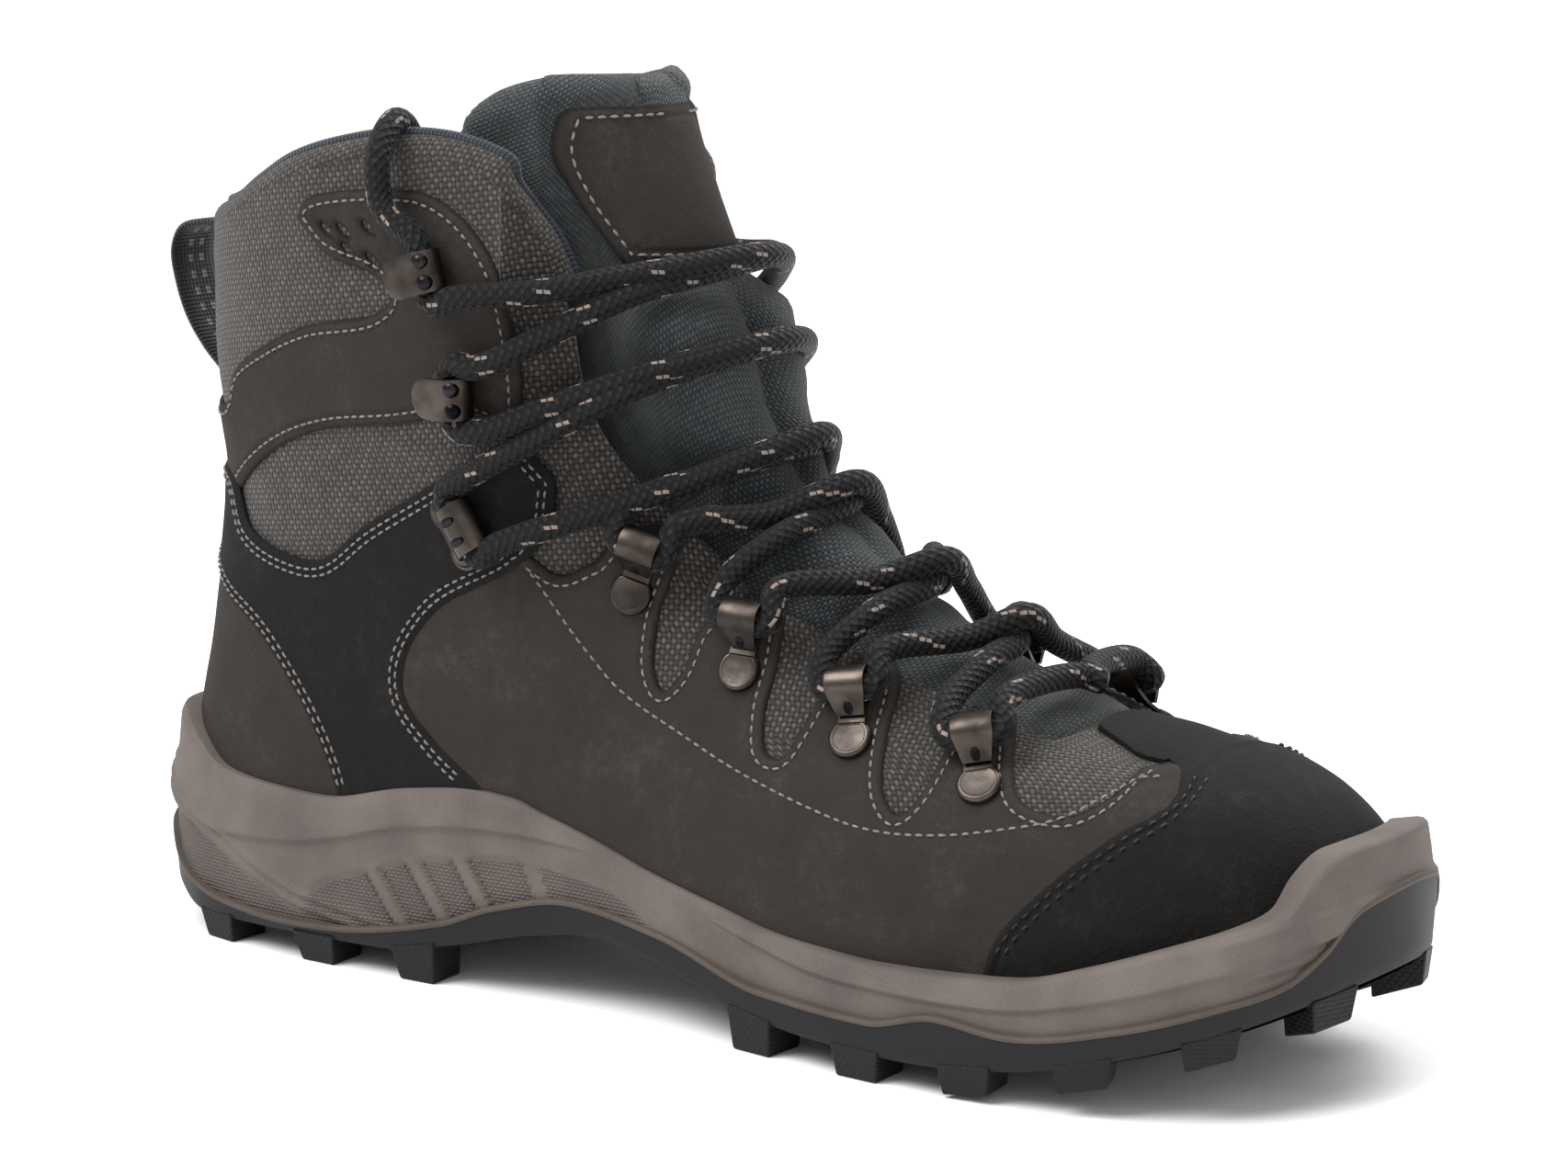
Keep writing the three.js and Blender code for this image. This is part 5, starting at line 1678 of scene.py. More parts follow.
def capsule(line: Array, up: Array, radius: float, sides: int = 6) -> Shell:
    """A short round thread along a line, closed at both ends.

    Args:
        line: Its middle.
        up: The way off the leather.
        radius: Its radius.
        sides: How many sides it has.

    Returns:
        The mesh.
    """
    ahead = unit(np.gradient(line, axis=0))
    side = unit(np.cross(ahead, up))
    up = np.cross(side, ahead)
    shares = np.array([0.35, 0.9, 1.0, 0.9, 0.35])[:, None, None] * radius
    angles = np.linspace(0, 2 * math.pi, sides, endpoint=False)[None, :, None]
    rings = line[:, None] + shares * (np.cos(angles) * side[:, None] + np.sin(angles) * up[:, None])
    count = len(line)
    faces = quads(count, sides, around=True)
    faces.append(tuple(range(sides))[::-1])
    faces.append(tuple((count - 1) * sides + c for c in range(sides)))
    return Shell(rings.reshape(-1, 3), [f[::-1] for f in faces], None)


# ---- The tongue -----------------------------------------------------------------------------


@dataclass
class Tongue:
    """The padded tongue, whose top swings with the ankle, and its nubuck patch."""

    shop: Workshop
    looks: Finishes
    throat: Outline
    inset: float = 1.0
    thickness: float = 6.0
    edge: float = 5.0
    RUNS = [
        [(124, 119.6)], [(140, 104), (160, 86), (184, 72), (205, 64), (234, 60)],
        [(240, 71)], [(240, 90)], [(215, 150)], [(175, 200)], [(136, 200.5)],
        [(125, 200.5), (113, 199), (102, 195.5), (95, 190), (94, 182), (104, 165), (114, 142)],
    ]
    PATCH = [[(121, 193), (120, 184), (124, 173), (133, 160)], [(170, 158)], [(170, 193)]]
    TRIM = ((60, 7), (100, 9), (130, 13), (200, 14))
    HINGE = (124.0, 120.0)

    def __post_init__(self) -> None:
        """Samples the tongue's own surface."""
        self.skin = Skin(Last(Curve(self.TRIM)), columns=300, rows=110)

    def build(self) -> None:
        """Makes the tongue and the patch."""
        outline, patch = Outline(self.RUNS), Outline(self.PATCH)
        cut = Cut.lay(self.skin, (Side.OUTER, Side.INNER), lambda places, side: outline.depth(places))
        trim = self.skin.last.trim(cut.rows[:, 2]) * np.abs(cut.rows[:, 4])
        bare = smoothstep(1.0, 13.0, -self.throat.depth(cut.rows[:, [0, 2]]))
        fullness = (2.4 + 0.8 * trim) * bare * smoothstep(160, 146, cut.rows[:, 2])

        def pinch(depth: Array) -> Array:
            """How much of its thickness the padding keeps near its edge."""
            return np.sqrt(1 - (1 - np.clip(depth / self.edge, 0, 1)) ** 2)

        def outer(point: Array, depth: Array) -> Array:
            """The quilted face: soft channels across, and puckers where the laces press.

            Args:
                point: Points on the tongue.
                depth: How far inside its edge they lie.

            Returns:
                The heights.
            """
            x, y, z = point.T
            down = (z - x * 0.55)
            quilt = 0.55 * np.abs(np.sin(math.pi * down / 15.0)) ** 0.5 - 0.35
            pucker = 0.45 * np.sin(0.9 * x + 0.35 * z + 1.5 * np.sin(0.11 * y)) * smoothstep(150, 120, z)
            bulk = quilt * smoothstep(178, 150, z) + pucker * smoothstep(0, 9, depth) * 0.6
            roll = 1.4 * np.exp(-((depth - 5) / 4.0) ** 2) * smoothstep(165, 185, z)
            return fullness - self.inset - self.thickness / 2 * (1 - pinch(depth)) + bulk + roll

        shell = cut.shell(outer, lambda point, depth: -self.inset - self.thickness / 2 * (1 + pinch(depth)),
                          60)
        weave = np.column_stack([cut.rows[:, 6:8], np.full(len(cut.rows), 9.0)])
        shell.pattern = np.vstack([weave, weave])
        tongue = self.shop.piece("padded_tongue", shell, self.looks.tongue, "tongue_textile", body="",
                                 replaces=["tongue_lower", "tongue_upper"])
        place = self.shop.pattern.to_frame
        x, z = self.HINGE
        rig.blend(tongue, "boot", "tongue", start=place((x + 12, 0, z - 10)), end=place((x + 12, 0, z + 8)))
        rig.padded(tongue, fill=0.6)
        leather = Cut.lay(self.skin, (Side.OUTER, Side.INNER), lambda places, side: patch.depth(places))
        top = heights(0.9, 1.4, 1.6)
        self.shop.piece("tongue_patch_leather", leather.shell(top, level(-1.2)), self.looks.nubuck, "nubuck",
                        body="tongue", replaces=["tongue_patch"])
        shells = []
        last = self.skin.last
        for side in Side:
            line = patch.inset(2.0)
            point, normal = last.place(line, side, 0.95)
            shown = ~np.isnan(point[:, 0]) & (line[:, 0] < 168)
            for start, end in spans(shown):
                path, out = point[start:end], normal[start:end]
                run = along(path)
                for begin in np.arange(0.3, run[-1] - 2.0, 2.9):
                    marks = begin + np.linspace(0, 2.0, 5)
                    spot = np.stack([np.interp(marks, run, path[:, k]) for k in range(3)], -1)
                    way = unit(np.stack([np.interp(marks, run, out[:, k]) for k in range(3)], -1))
                    shells.append(capsule(spot + way * np.array([-0.2, 0.1, 0.2, 0.1, -0.2])[:, None], way,
                                          0.33))
        self.shop.piece("patch_stitching", join(shells), self.looks.thread, "nubuck", body="tongue")


# ---- The sole -------------------------------------------------------------------------------


class Plan:
    """The sole's plan outline, once round from the heel tip along the outer side first."""

    HEEL_TIP = (-1, 0)
    OUTER = ((3, -20), (20, -34), (50, -40), (92, -42), (130, -42), (160, -45), (187, -50), (215, -54),
             (245, -55), (270, -51.5), (291, -41), (304, -25))
    TOE_TIP = (310, 4)
    INNER = ((3, 19), (20, 32), (50, 37), (92, 35), (130, 34), (160, 38), (187, 44), (215, 49), (245, 50),
             (270, 46), (291, 38), (304, 26))

    def __init__(self, stations: int = 720) -> None:
        """Samples the outline evenly.

        Args:
            stations: How many points.
        """
        control = np.array([self.HEEL_TIP, *self.OUTER, self.TOE_TIP, *self.INNER[::-1]], float)
        curve = through(control, 60, closed=True)
        curve = np.vstack([curve, curve[:1]])
        self.run = along(curve)
        self.curve = curve
        share = np.linspace(0, 1, stations, endpoint=False)
        self.line, self.inward = self.at(share)
        self.distance = share * self.run[-1]

    def at(self, share: Array) -> tuple[Array, Array]:
        """Points and inward directions at shares of the way round.

        Args:
            share: The shares.

        Returns:
            The points and the directions.
        """
        def spot(value: Array) -> Array:
            """The point at a share."""
            length = np.mod(value, 1) * self.run[-1]
            return np.stack([np.interp(length, self.run, self.curve[:, k]) for k in (0, 1)], -1)

        ahead = unit(spot(share + 0.002) - spot(share - 0.002))
        return spot(share), np.stack([-ahead[..., 1], ahead[..., 0]], -1)


@dataclass
class Sole:
    """The moulded midsole and the rubber outsole with its lugs."""

    last: Last
    shop: Workshop
    looks: Finishes
    plan: Plan = field(default_factory=Plan)
    rubber_wall: float = 2.8
    lug_depth: float = 12.0
    half_lug: float = 6.25

    GROUND = Curve([(-2, 11), (8, 4), (22, 0), (222, 0), (245, 2), (270, 7), (290, 13), (312, 21)])
    TREAD_BASE = Curve(
        [(-2, 15), (8, 9), (22, 5.5), (80, 6), (100, 9.5), (118, 14), (140, 17), (158, 13.5), (180, 8),
         (200, 6),
         (222, 5.5), (245, 7), (270, 12), (290, 18), (312, 27)]
    )
    LIP = Curve(
        [(-2, 25), (4, 23), (12, 16), (20, 12.5), (32, 10), (50, 8.5), (65, 9), (97, 14.5), (112, 20),
         (132, 24),
         (157, 21), (187, 14), (215, 13), (232, 16.5), (248, 15), (272, 19), (289, 24), (299, 28), (304, 34),
         (307, 41), (310, 44)]
    )
    RUBBER_TOP = Curve(
        [(-2, 17.5), (8, 12), (22, 8), (60, 8), (97, 12), (118, 17.5), (140, 20.5), (158, 17), (187, 11),
         (215, 9.5), (250, 11), (272, 15), (290, 20), (312, 30)]
    )
    MIDSOLE_TOP = Curve(
        [(-2, 51), (6, 51), (14, 47), (30, 40), (45, 38.5), (60, 38), (86, 43), (105, 45), (115, 44.5),
         (124, 42),
         (140, 38), (154, 34), (172, 30), (193, 26), (216, 24.5), (245, 25.5), (264, 30), (281, 35),
         (294, 39),
         (300, 42), (303, 48), (307, 53), (312, 54)]
    )
    FACET = Curve(
        [(-2, 34), (14, 28), (34.4, 26.2), (50, 27), (65, 29.5), (89, 35.4), (112.5, 37.2), (133, 36.2),
         (154, 31.1), (180, 24.8), (205, 20.5), (228, 20.0), (244, 20.3), (271, 25.4), (293, 32.4),
         (312, 40)]
    )
    WEDGE = Curve([(-2, 36), (8.6, 30.6), (26.8, 24), (39.7, 17.6), (54.8, 12.7), (72.3, 10), (90, 6)])
    ARCH_KNURL = Curve(
        [(52, 8), (59.9, 17.3), (72.6, 22.2), (89, 27.1), (103, 29.6), (120, 31.2), (133, 30), (143, 28.5),
         (160, 20)]
    )
    BANDS = ((72.0, 84.0), (86.0, 98.0), (101.0, 112.0), (121.0, 128.0))
    LUG_SHARES = (0.02, 0.07, 0.115, 0.155, 0.285, 0.325, 0.362, 0.398, 0.434, 0.472)
    CENTRE_BLOCKS = ((32, 0), (52, 0), (72, 0), (182, -10), (182, 12), (204, 0), (226, -10), (226, 13),
                     (248, 2),
                     (268, 4))
    CHEVRON = ((-6, -7), (4, -7), (8, 0), (4, 7), (-6, 7), (-2, 0))

    def wall(self, rows: Sequence[tuple[Array, Array, Array]]) -> Shell:
        """A closed band round the plan.

        Args:
            rows: Each row's inset, height and knurl mask at every station.

        Returns:
            The mesh, facing outwards where the rows run upwards.
        """
        stations = len(self.plan.line)
        points, pattern = [], []
        for inset, height, mask in rows:
            spot = self.plan.line + self.plan.inward * np.reshape(inset, (-1, 1))
            points.append(np.column_stack([spot, np.broadcast_to(height, stations)]))
            pattern.append(np.column_stack([self.plan.distance, points[-1][:, 2],
                                            np.broadcast_to(mask, stations)]))
        faces = quads(len(rows), stations, around=True)
        return Shell(np.vstack(points), faces, np.vstack(pattern), 35)

    def relief(self, x: Array, z: Array, top: Array, low: Array) -> tuple[Array, Array]:
        """The midsole's moulded relief.

        Args:
            x: Place along the boot.
            z: Height.
            top: The wall's top edge there.
            low: The lip's height there.

        Returns:
            How far the face stands out, and the knurl mask.
        """
        facet = self.FACET(x)
        share = np.clip((z - low) / np.maximum(top - low, 1), 0, 1)
        out = 0.4 - 1.1 * np.clip((z - facet) / np.maximum(top - facet, 2), 0, 1)
        out += -1.2 * smoothstep(-0.3, 1.6, facet - z)
        rounded = np.clip((share - 0.9) / 0.1, 0, 1)
        out -= 0.9 * rounded**2
        wedge = self.WEDGE(x)
        for offset in (0.0, 2.6):
            out += 0.75 * np.exp(-(((z - wedge - offset) / 0.85) ** 2)) * (x < 82)
        heel_knurl = smoothstep(0.0, 0.8, wedge - 1.4 - z) * (x < 78)
        arch = self.ARCH_KNURL(x)
        arch_knurl = smoothstep(0.0, 0.8, arch - z) * smoothstep(54, 60, x) * smoothstep(158, 148, x)
        out -= 0.5 * arch_knurl
        edge = np.exp(-(((z - arch) / 0.6) ** 2)) * (x > 56) * (x < 150)
        out -= 0.35 * edge
        mask = np.maximum(heel_knurl, arch_knurl)
        for upper, lower in self.BANDS:
            middle = lower + (upper - lower) * np.clip((z - 14) / 16, -0.3, 1.3)
            away = np.abs(x - middle)
            band = smoothstep(2.6, 1.9, away) * smoothstep(0.6, -0.6, z - arch - 0.5) * (x > 58) * (x < 150)
            groove = np.exp(-(((away - 2.9) / 0.55) ** 2)) * smoothstep(0.6, -0.6, z - arch)
            out += 0.75 * band - 0.45 * groove
            mask = mask * (1 - band)
        # The bumper at the toe: a step, then shallow grooves under it.
        toe = smoothstep(284, 291, x)
        out += 0.9 * toe * smoothstep(38.5, 36.8, z - 0.35 * (x - 292))
        for height in (27.0, 30.8, 34.5):
            out -= 0.6 * np.exp(-(((z - height - 0.3 * (x - 300)) / 0.6) ** 2)) * smoothstep(290, 298, x)
        heel = smoothstep(26, 18, x)
        out += 0.7 * heel * smoothstep(43, 40.5, z + 0.12 * (20 - x))
        return out, mask

    def room(self, height: Array) -> Array:
        """The most that the wall may be inset at each station and still cover the upper.

        Args:
            height: The wall's height at each station.

        Returns:
            The limits.
        """
        x = self.plan.line[:, 0]
        limit = np.full(len(x), 9.0)
        for side in Side:
            here = (self.plan.line[:, 1] * side.value > 0) & (np.abs(self.plan.inward[:, 1]) > 0.55)
            cover, _ = self.last.place(np.column_stack([x, height])[here], side, 1.0, strict=False)
            space = (np.abs(self.plan.line[here, 1]) - np.abs(cover[:, 1])) / np.abs(self.plan.inward[here,
                                                                                                      1])
            limit[here] = np.maximum(space, -1.5)
        return limit

    def make_midsole(self) -> None:
        """The polyurethane wall, from the lip up to the feather edge."""
        x = self.plan.line[:, 0]
        low, top = self.LIP(x) + 0.4, self.MIDSOLE_TOP(x)
        rows: list[tuple[Array, Array, Array]] = []
        nothing = np.zeros(len(x))
        rows.append((nothing + 3.0, self.RUBBER_TOP(x) + 0.3, nothing))
        rows.append((nothing + 2.9, low, nothing))
        count = 44
        for k in range(count + 1):
            share = k / count
            z = low + (top - low) * share
            out, mask = self.relief(x, z, top, low)
            inset = 0.8 + 0.9 * share**1.6 - out
            rows.append((np.minimum(inset, self.room(z)), z, mask))
        last_inset = rows[-1][0]
        rows.append((last_inset + 1.2, top + 0.15, nothing))
        rows.append((last_inset + 6.5, top - 0.6, nothing))
        rows.append((nothing + 11.0, top - 4.0, nothing))
        self.shop.piece("polyurethane_midsole", self.wall(rows), self.looks.midsole, "midsole_rubber",
                        replaces=["midsole"])

    def make_outsole(self) -> None:
        """The rubber shell with its wall, bottom, lugs and centre chevrons."""
        x = self.plan.line[:, 0]
        nothing = np.zeros(len(x))
        lip, base = self.LIP(x), self.TREAD_BASE(x)
        spine_x = np.clip(x, 24, 285)
        outer_y = np.interp(spine_x, *np.array(Plan.OUTER, float).T)
        inner_y = np.interp(spine_x, *np.array(Plan.INNER, float).T)
        centre = np.column_stack([spine_x, (outer_y + inner_y) / 2])
        stations = len(x)
        rows: list[tuple[Array, Array, Array]] = []
        low = np.minimum(base + 1.6, lip - 1)
        for share in (0.0, 0.12, 0.4, 0.7, 0.94, 1.0):
            z = low + (lip - low) * share
            rows.append((nothing + 0.75 * (1 - share), z, nothing))
        rows.append((nothing + 0.5, lip + 0.25, nothing))
        rows.append((nothing + self.rubber_wall, lip + 0.25, nothing))
        wall = self.wall([(nothing + 3.0, base, nothing), (nothing + 1.3, base + 0.35, nothing), *rows])
        edge = self.plan.line + self.plan.inward * 3.0
        bottom = []
        for share in (0.0, 0.34, 0.67, 1.0):
            spot = edge + (centre - edge) * share
            bottom.append(np.column_stack([spot, self.TREAD_BASE(spot[:, 0])]))
        points = np.vstack(bottom)
        faces = [(a, d, c, b) for a, b, c, d in quads(4, stations, around=True)]
        floor = Shell(points, faces, np.column_stack([points[:, :2], np.ones(len(points)) * 0.4]), 35)
        lugs = [self.lug(share, way) for share in self.LUG_SHARES for way in (1, -1)]
        blocks = [self.chevron(*spot) for spot in self.CENTRE_BLOCKS]
        self.shop.piece("rubber_outsole", join([wall, floor]), self.looks.rubber, "outsole_rubber",
                        replaces=["outsole"])
        self.shop.piece("tread_lugs", join([*lugs, *blocks]), self.looks.rubber, "outsole_rubber",
                        bevel=0.55)
        strip = [(nothing + 0.35, lip - 0.75, nothing), (nothing - 0.25, lip - 0.6, nothing),
                 (nothing - 0.45, lip, nothing), (nothing - 0.2, lip + 0.6, nothing),
                 (nothing + 1.2, lip + 0.75, nothing)]
        self.shop.piece("outsole_lip", self.wall(strip), self.looks.lip, "outsole_rubber")

    def lug(self, share: float, way: int) -> Shell:
        """One edge lug: a block whose side face slopes in, with a sloping heel-side end.

        Args:
            share: Its place round the outline.
            way: 1 on the outer side and -1 on the inner.

        Returns:
            The block.
        """
        middle = share if way > 0 else 1 - share
        length = self.plan.run[-1]
        spot, _ = self.plan.at(np.array([middle]))
        heel = spot[0, 0] < 110
        ends = (-self.half_lug, self.half_lug)
        slopes = (2.2, 0.6) if heel else (1.0, 1.0)
        rings = []
        for depth, foot in ((0.0, False), (0.0, True), (1.0, True), (1.0, False)):
            row = []
            for end, slope in zip(ends if way > 0 else ends[::-1], slopes):
                sign = -1 if end < 0 else 1
                along_edge = end - sign * (slope if foot else 0)
                taper = 1 - 0.18 * depth
                at = middle + along_edge * taper / length
                line, inward = self.plan.at(np.array([at]))
                inset = (1.4 if foot else 0.45) + depth * self.lug_depth * (0.9 if foot else 1.0)
                place = line[0] + inward[0] * inset
                height = self.GROUND(place[:1])[0] + 0.02 if foot else self.TREAD_BASE(place[:1])[0] + 1.3
                row.append((*place, height))
            rings.append(row)
        points = np.array([p for row in rings for p in row])
        faces = [(0, 1, 3, 2), (2, 3, 5, 4), (4, 5, 7, 6), (6, 7, 1, 0), (0, 2, 4, 6), (1, 7, 5, 3)]
        centre = points.mean(0)
        faces = [outward(points, f, centre) for f in faces]
        shell = Shell(points, faces, None)
        shell = divided(shell, 2)
        run = way * (shell.points[:, 0])
        shell.pattern = np.column_stack([run, shell.points[:, 2], np.full(len(run), 0.55)])
        return shell

    def chevron(self, x: float, y: float) -> Shell:
        """One centre block, an arrow head that points at the toe.

        Args:
            x: Its place along the sole.
            y: Its place across.

        Returns:
            The block.
        """
        plan = np.array(self.CHEVRON, float) + (x, y)
        low = np.column_stack([(plan - (x, y)) * 0.92 + (x, y), self.GROUND(plan[:, 0]) + 0.02])
        high = np.column_stack([plan, self.TREAD_BASE(plan[:, 0]) + 0.8])
        count = len(plan)
        faces = [tuple(range(count))[::-1]]
        faces += [(k, (k + 1) % count, (k + 1) % count + count, k + count) for k in range(count)]
        points = np.vstack([low, high])
        return Shell(points, faces, np.column_stack([points[:, :2], np.zeros(len(points))]))


def outward(points: Array, face: tuple[int, ...], centre: Array) -> tuple[int, ...]:
    """A face turned so that it faces away from a centre.

    Args:
        points: The vertices.
        face: Their numbers.
        centre: The centre.

    Returns:
        The face.
    """
    a, b, c = points[face[0]], points[face[1]], points[face[2]]
    middle = points[list(face)].mean(0)
    return face if np.dot(np.cross(b - a, c - a), middle - centre) > 0 else face[::-1]


def divided(shell: Shell, times: int) -> Shell:
    """A quad mesh with each face cut in four, as often as asked.

    Args:
        shell: The mesh.
        times: How often.

    Returns:
        The finer mesh.
    """
    for _ in range(times):
        points = list(shell.points)
        middles: dict[tuple[int, int], int] = {}

        def middle(a: int, b: int) -> int:
            """The vertex half way along an edge.

            Args:
                a: One end.
                b: The other.

            Returns:
                Its number.
            """
            key = (min(a, b), max(a, b))
            if key not in middles:
                middles[key] = len(points)
                points.append((shell.points[a] + shell.points[b]) / 2)
            return middles[key]

        faces = []
        for a, b, c, d in shell.faces:
            ab, bc, cd, da = middle(a, b), middle(b, c), middle(c, d), middle(d, a)
            points.append(shell.points[[a, b, c, d]].mean(0))
            core = len(points) - 1
            faces += [(a, ab, core, da), (ab, b, bc, core), (core, bc, c, cd), (da, core, cd, d)]
        shell = Shell(np.array(points), faces, None, shell.sharp)
    return shell


# ---- Fastenings -----------------------------------------------------------------------------


@dataclass(frozen=True)
class Gate:
    """Where one fastening sits, and the straight tunnel that it gives the lace."""

    name: str
    outer: tuple[float, float]
    inner: tuple[float, float]
    to: tuple[float, float]
    lift: float
    reach: float
    half: float
    shares: tuple[float, ...]

    def seat(self, last: Last, side: Side) -> tuple[Array, Array]:
        """The local axes, as rows along, up and out, and the origin on the leather.

        Args:
            last: The form.
            side: The side.

        Returns:
            The axes and the origin.
        """
        spot = np.array(self.outer if side is Side.OUTER else self.inner, float)
        here, out = last.place(spot, side)
        there, _ = last.place(spot + np.array(self.to), side)
        out = out[0]
        up = there[0] - here[0]
        up = unit(up - out * up.dot(out))
        return np.array([np.cross(up, out), up, out]), here[0] + out * self.lift


HOOK, CLEAT, RING = (4.0, 4.5, (0.33, 0.75)), (6.0, 5.5, (0.33, 0.75)), (10.0, 3.5, (0.6,))
GATES = (
    Gate("hook_1", (97, 158), (98, 161), (11, 3), 1.1, *HOOK),
    Gate("hook_2", (103, 133), (105, 135), (11, 0), 1.1, *HOOK),
    Gate("cleat", (102, 102), (104, 103), (10, 6), 1.5, *CLEAT),
    Gate("ring_1", (144, 92), (153, 92), (3, 12), 0.6, *RING),
    Gate("ring_2", (171, 78), (177, 78), (0, 12), 0.6, *RING),
    Gate("ring_3", (200, 67), (204, 67), (-4, 12), 0.6, *RING),
    Gate("ring_4", (231, 61), (232, 61), (-8, 11), 0.6, *RING),
)


@dataclass
class Fastenings:
    """The stamped steel lace rings, cleats and speed hooks."""

    last: Last
    shop: Workshop
    looks: Finishes
    metal: float = 0.9
    tunnel: float = LACE_DIAMETER / 2 + 0.45
    ear: float = 5.0

    def strap(self, path: Array, widths: Array, lean: float = 0.0) -> Shell:
        """Sheet metal bent along a line.

        Args:
            path: (up, out) points of its middle layer.
            widths: Its width at each point.
            lean: How far it drifts along the tunnel over its length.

        Returns:
            The mesh, in local axes.
        """
        path = np.asarray(path, float)
        ahead = unit(np.gradient(path, axis=0))
        off = np.stack([-ahead[:, 1], ahead[:, 0]], 1) * self.metal / 2
        drift = np.linspace(0, lean, len(path))
        columns = np.array([-1, -0.94, -0.5, 0, 0.5, 0.94, 1])
        crown = np.array([0.35, 0, 0, 0, 0, 0, 0.35]) * 0.5
        points = []
        for hand in (1, -1):
            for k, (spot, away) in enumerate(zip(path, off)):
                for column, drop in zip(columns, crown):
                    y, z = spot + away * hand * (1 - drop)
                    points.append((column * widths[k] / 2 + drift[k], y, z))
        wide, count = len(columns), len(path)
        index = np.arange(2 * count * wide).reshape(2, count, wide)
        faces = []
        for r in range(count - 1):
            for c in range(wide - 1):
                top = (index[0, r, c], index[0, r, c + 1], index[0, r + 1, c + 1], index[0, r + 1, c])
                faces += [top, tuple(v + count * wide for v in top[::-1])]
            for c, flip in ((0, 1), (wide - 1, -1)):
                faces.append((index[0, r, c], index[0, r + 1, c], index[1, r + 1, c],
                              index[1, r, c])[::flip])
        for r, flip in ((0, 1), (count - 1, -1)):
            for c in range(wide - 1):
                faces.append((index[0, r, c + 1], index[0, r, c], index[1, r, c],
                              index[1, r, c + 1])[::flip])
        return Shell(np.array(points), [tuple(map(int, f)) for f in faces], None, 45)

    @staticmethod
    def turned(profile: Points, centre: tuple[float, float, float], stretch: float = 1.0,
               flat: float = 99.0) -> Shell:
        """A lathe form.

        Args:
            profile: (radius, height) points from the rim to the middle.
            centre: Where its axis stands.
            stretch: How much longer it is along the tunnel.
            flat: Where its throat side is cut straight.

        Returns:
            The mesh, in local axes.
        """
        sides = 32
        angle = np.linspace(0, 2 * math.pi, sides, endpoint=False)
        points = [
            (r * math.cos(a) * stretch + centre[0],
             min(r * math.sin(a), flat * r / profile[0][0]) + centre[1],
             h + centre[2])
            for r, h in profile
            for a in angle
        ]
        faces = quads(len(profile), sides, around=True)
        faces.append(tuple((len(profile) - 1) * sides + c for c in range(sides)))
        return Shell(np.array(points), faces, None, 45)

    def arc(self, reach: float, start: float, end: float, steps: int = 18) -> Array:
        """(up, out) points round the tunnel, in degrees from straight up the boot.

        Args:
            reach: How far up the tunnel is.
            start: The first angle.
            end: The last.
            steps: How many points.

        Returns:
            The points.
        """
        radius = self.tunnel + self.metal / 2
        turn = np.radians(np.linspace(start, end, steps))
        return np.column_stack([reach + radius * np.cos(turn),
                                self.tunnel + self.metal + radius * np.sin(turn)])

    def ring(self) -> list[tuple[Shell, bool]]:
        """A lace ring: a raised disc, a narrow band, and a hood folded over the lace.

        Returns:
            Its shells, each with whether it is dark: here the painted shade in the opening.
        """
        low = self.metal / 2
        band = np.column_stack([np.linspace(1, 8.4, 6), np.full(6, low)])
        hood = self.arc(10, -78, 128, 20)
        leaf = hood[-1] + (np.array([4.5, 1.5]) - hood[-1]) * np.linspace(0.14, 1, 7)[:, None]
        path = np.vstack([band, hood, leaf])
        widths = np.concatenate([[6.4, 6.2, 6, 5.8, 6.2, 7], np.full(20, 8.6), np.linspace(8.4, 6.0, 7)])
        disc = self.turned([(4.6, -0.4), (4.6, 0.6), (4.35, 1.15), (3.9, 1.35), (3.5, 1.2), (3.3, 1.15),
                            (0.5, 1.3)],
                           (0, -0.4, 0), flat=3.4)
        # A dark disc of painted shade where the leaf closes on the band, in place of the opening.
        notch_shade = self.turned([(1.0, 0), (0.95, 0.12), (0.3, 0.16)], (0, 0, 0))
        tip, way = leaf[-3], unit(leaf[-1] - leaf[0])
        side, rise = notch_shade.points[:, 1] * 1.7, notch_shade.points[:, 2] + 0.45
        notch_shade.points[:, 1] = tip[0] + side * way[0] + rise * way[1]
        notch_shade.points[:, 2] = tip[1] + side * way[1] - rise * way[0]
        return [(self.strap(path, widths), False), (disc, False), (notch_shade, True)]

    def hook(self) -> list[tuple[Shell, bool]]:
        """A speed hook: a plate folded over the lace, with a rounded free end and two studs.

        Returns:
            Its shells, each with whether it is black.
        """
        low = self.metal / 2
        high = 2 * (self.tunnel + self.metal) - low
        under = np.column_stack([np.linspace(-5.2, 3.4, 10), np.full(10, low)])
        cap = np.column_stack([np.linspace(3.4, -4.6, 16), np.linspace(high, high - 0.5, 16)])
        path = np.vstack([under, self.arc(4, -85, 85, 14), cap])
        t = np.clip((-4.6 + 4.4 - cap[:, 0]) / 4.4, 0, 1)
        ends = 9.0 * np.sqrt(np.clip(1 - t**2.6, 0.05, 1))
        t = np.clip((under[:, 0] + 2.2) / -3.0, 0, 1)
        starts = 9.0 * np.sqrt(np.clip(1 - t**2.6, 0.06, 1))
        body = self.strap(path, np.concatenate([starts, np.full(14, 9.0), ends]))
        parts = [(body, False)]
        for hand in (-1, 1):
            stud = [(1.9, high - 2.6), (2.0, high - 1.0), (1.8, high - 0.2), (1.3, high + 0.35),
                    (0.6, high + 0.6),
                    (0.2, high + 0.62)]
            parts.append((self.turned(stud, (hand * 2.3, 5.6, 0)), True))
        return parts

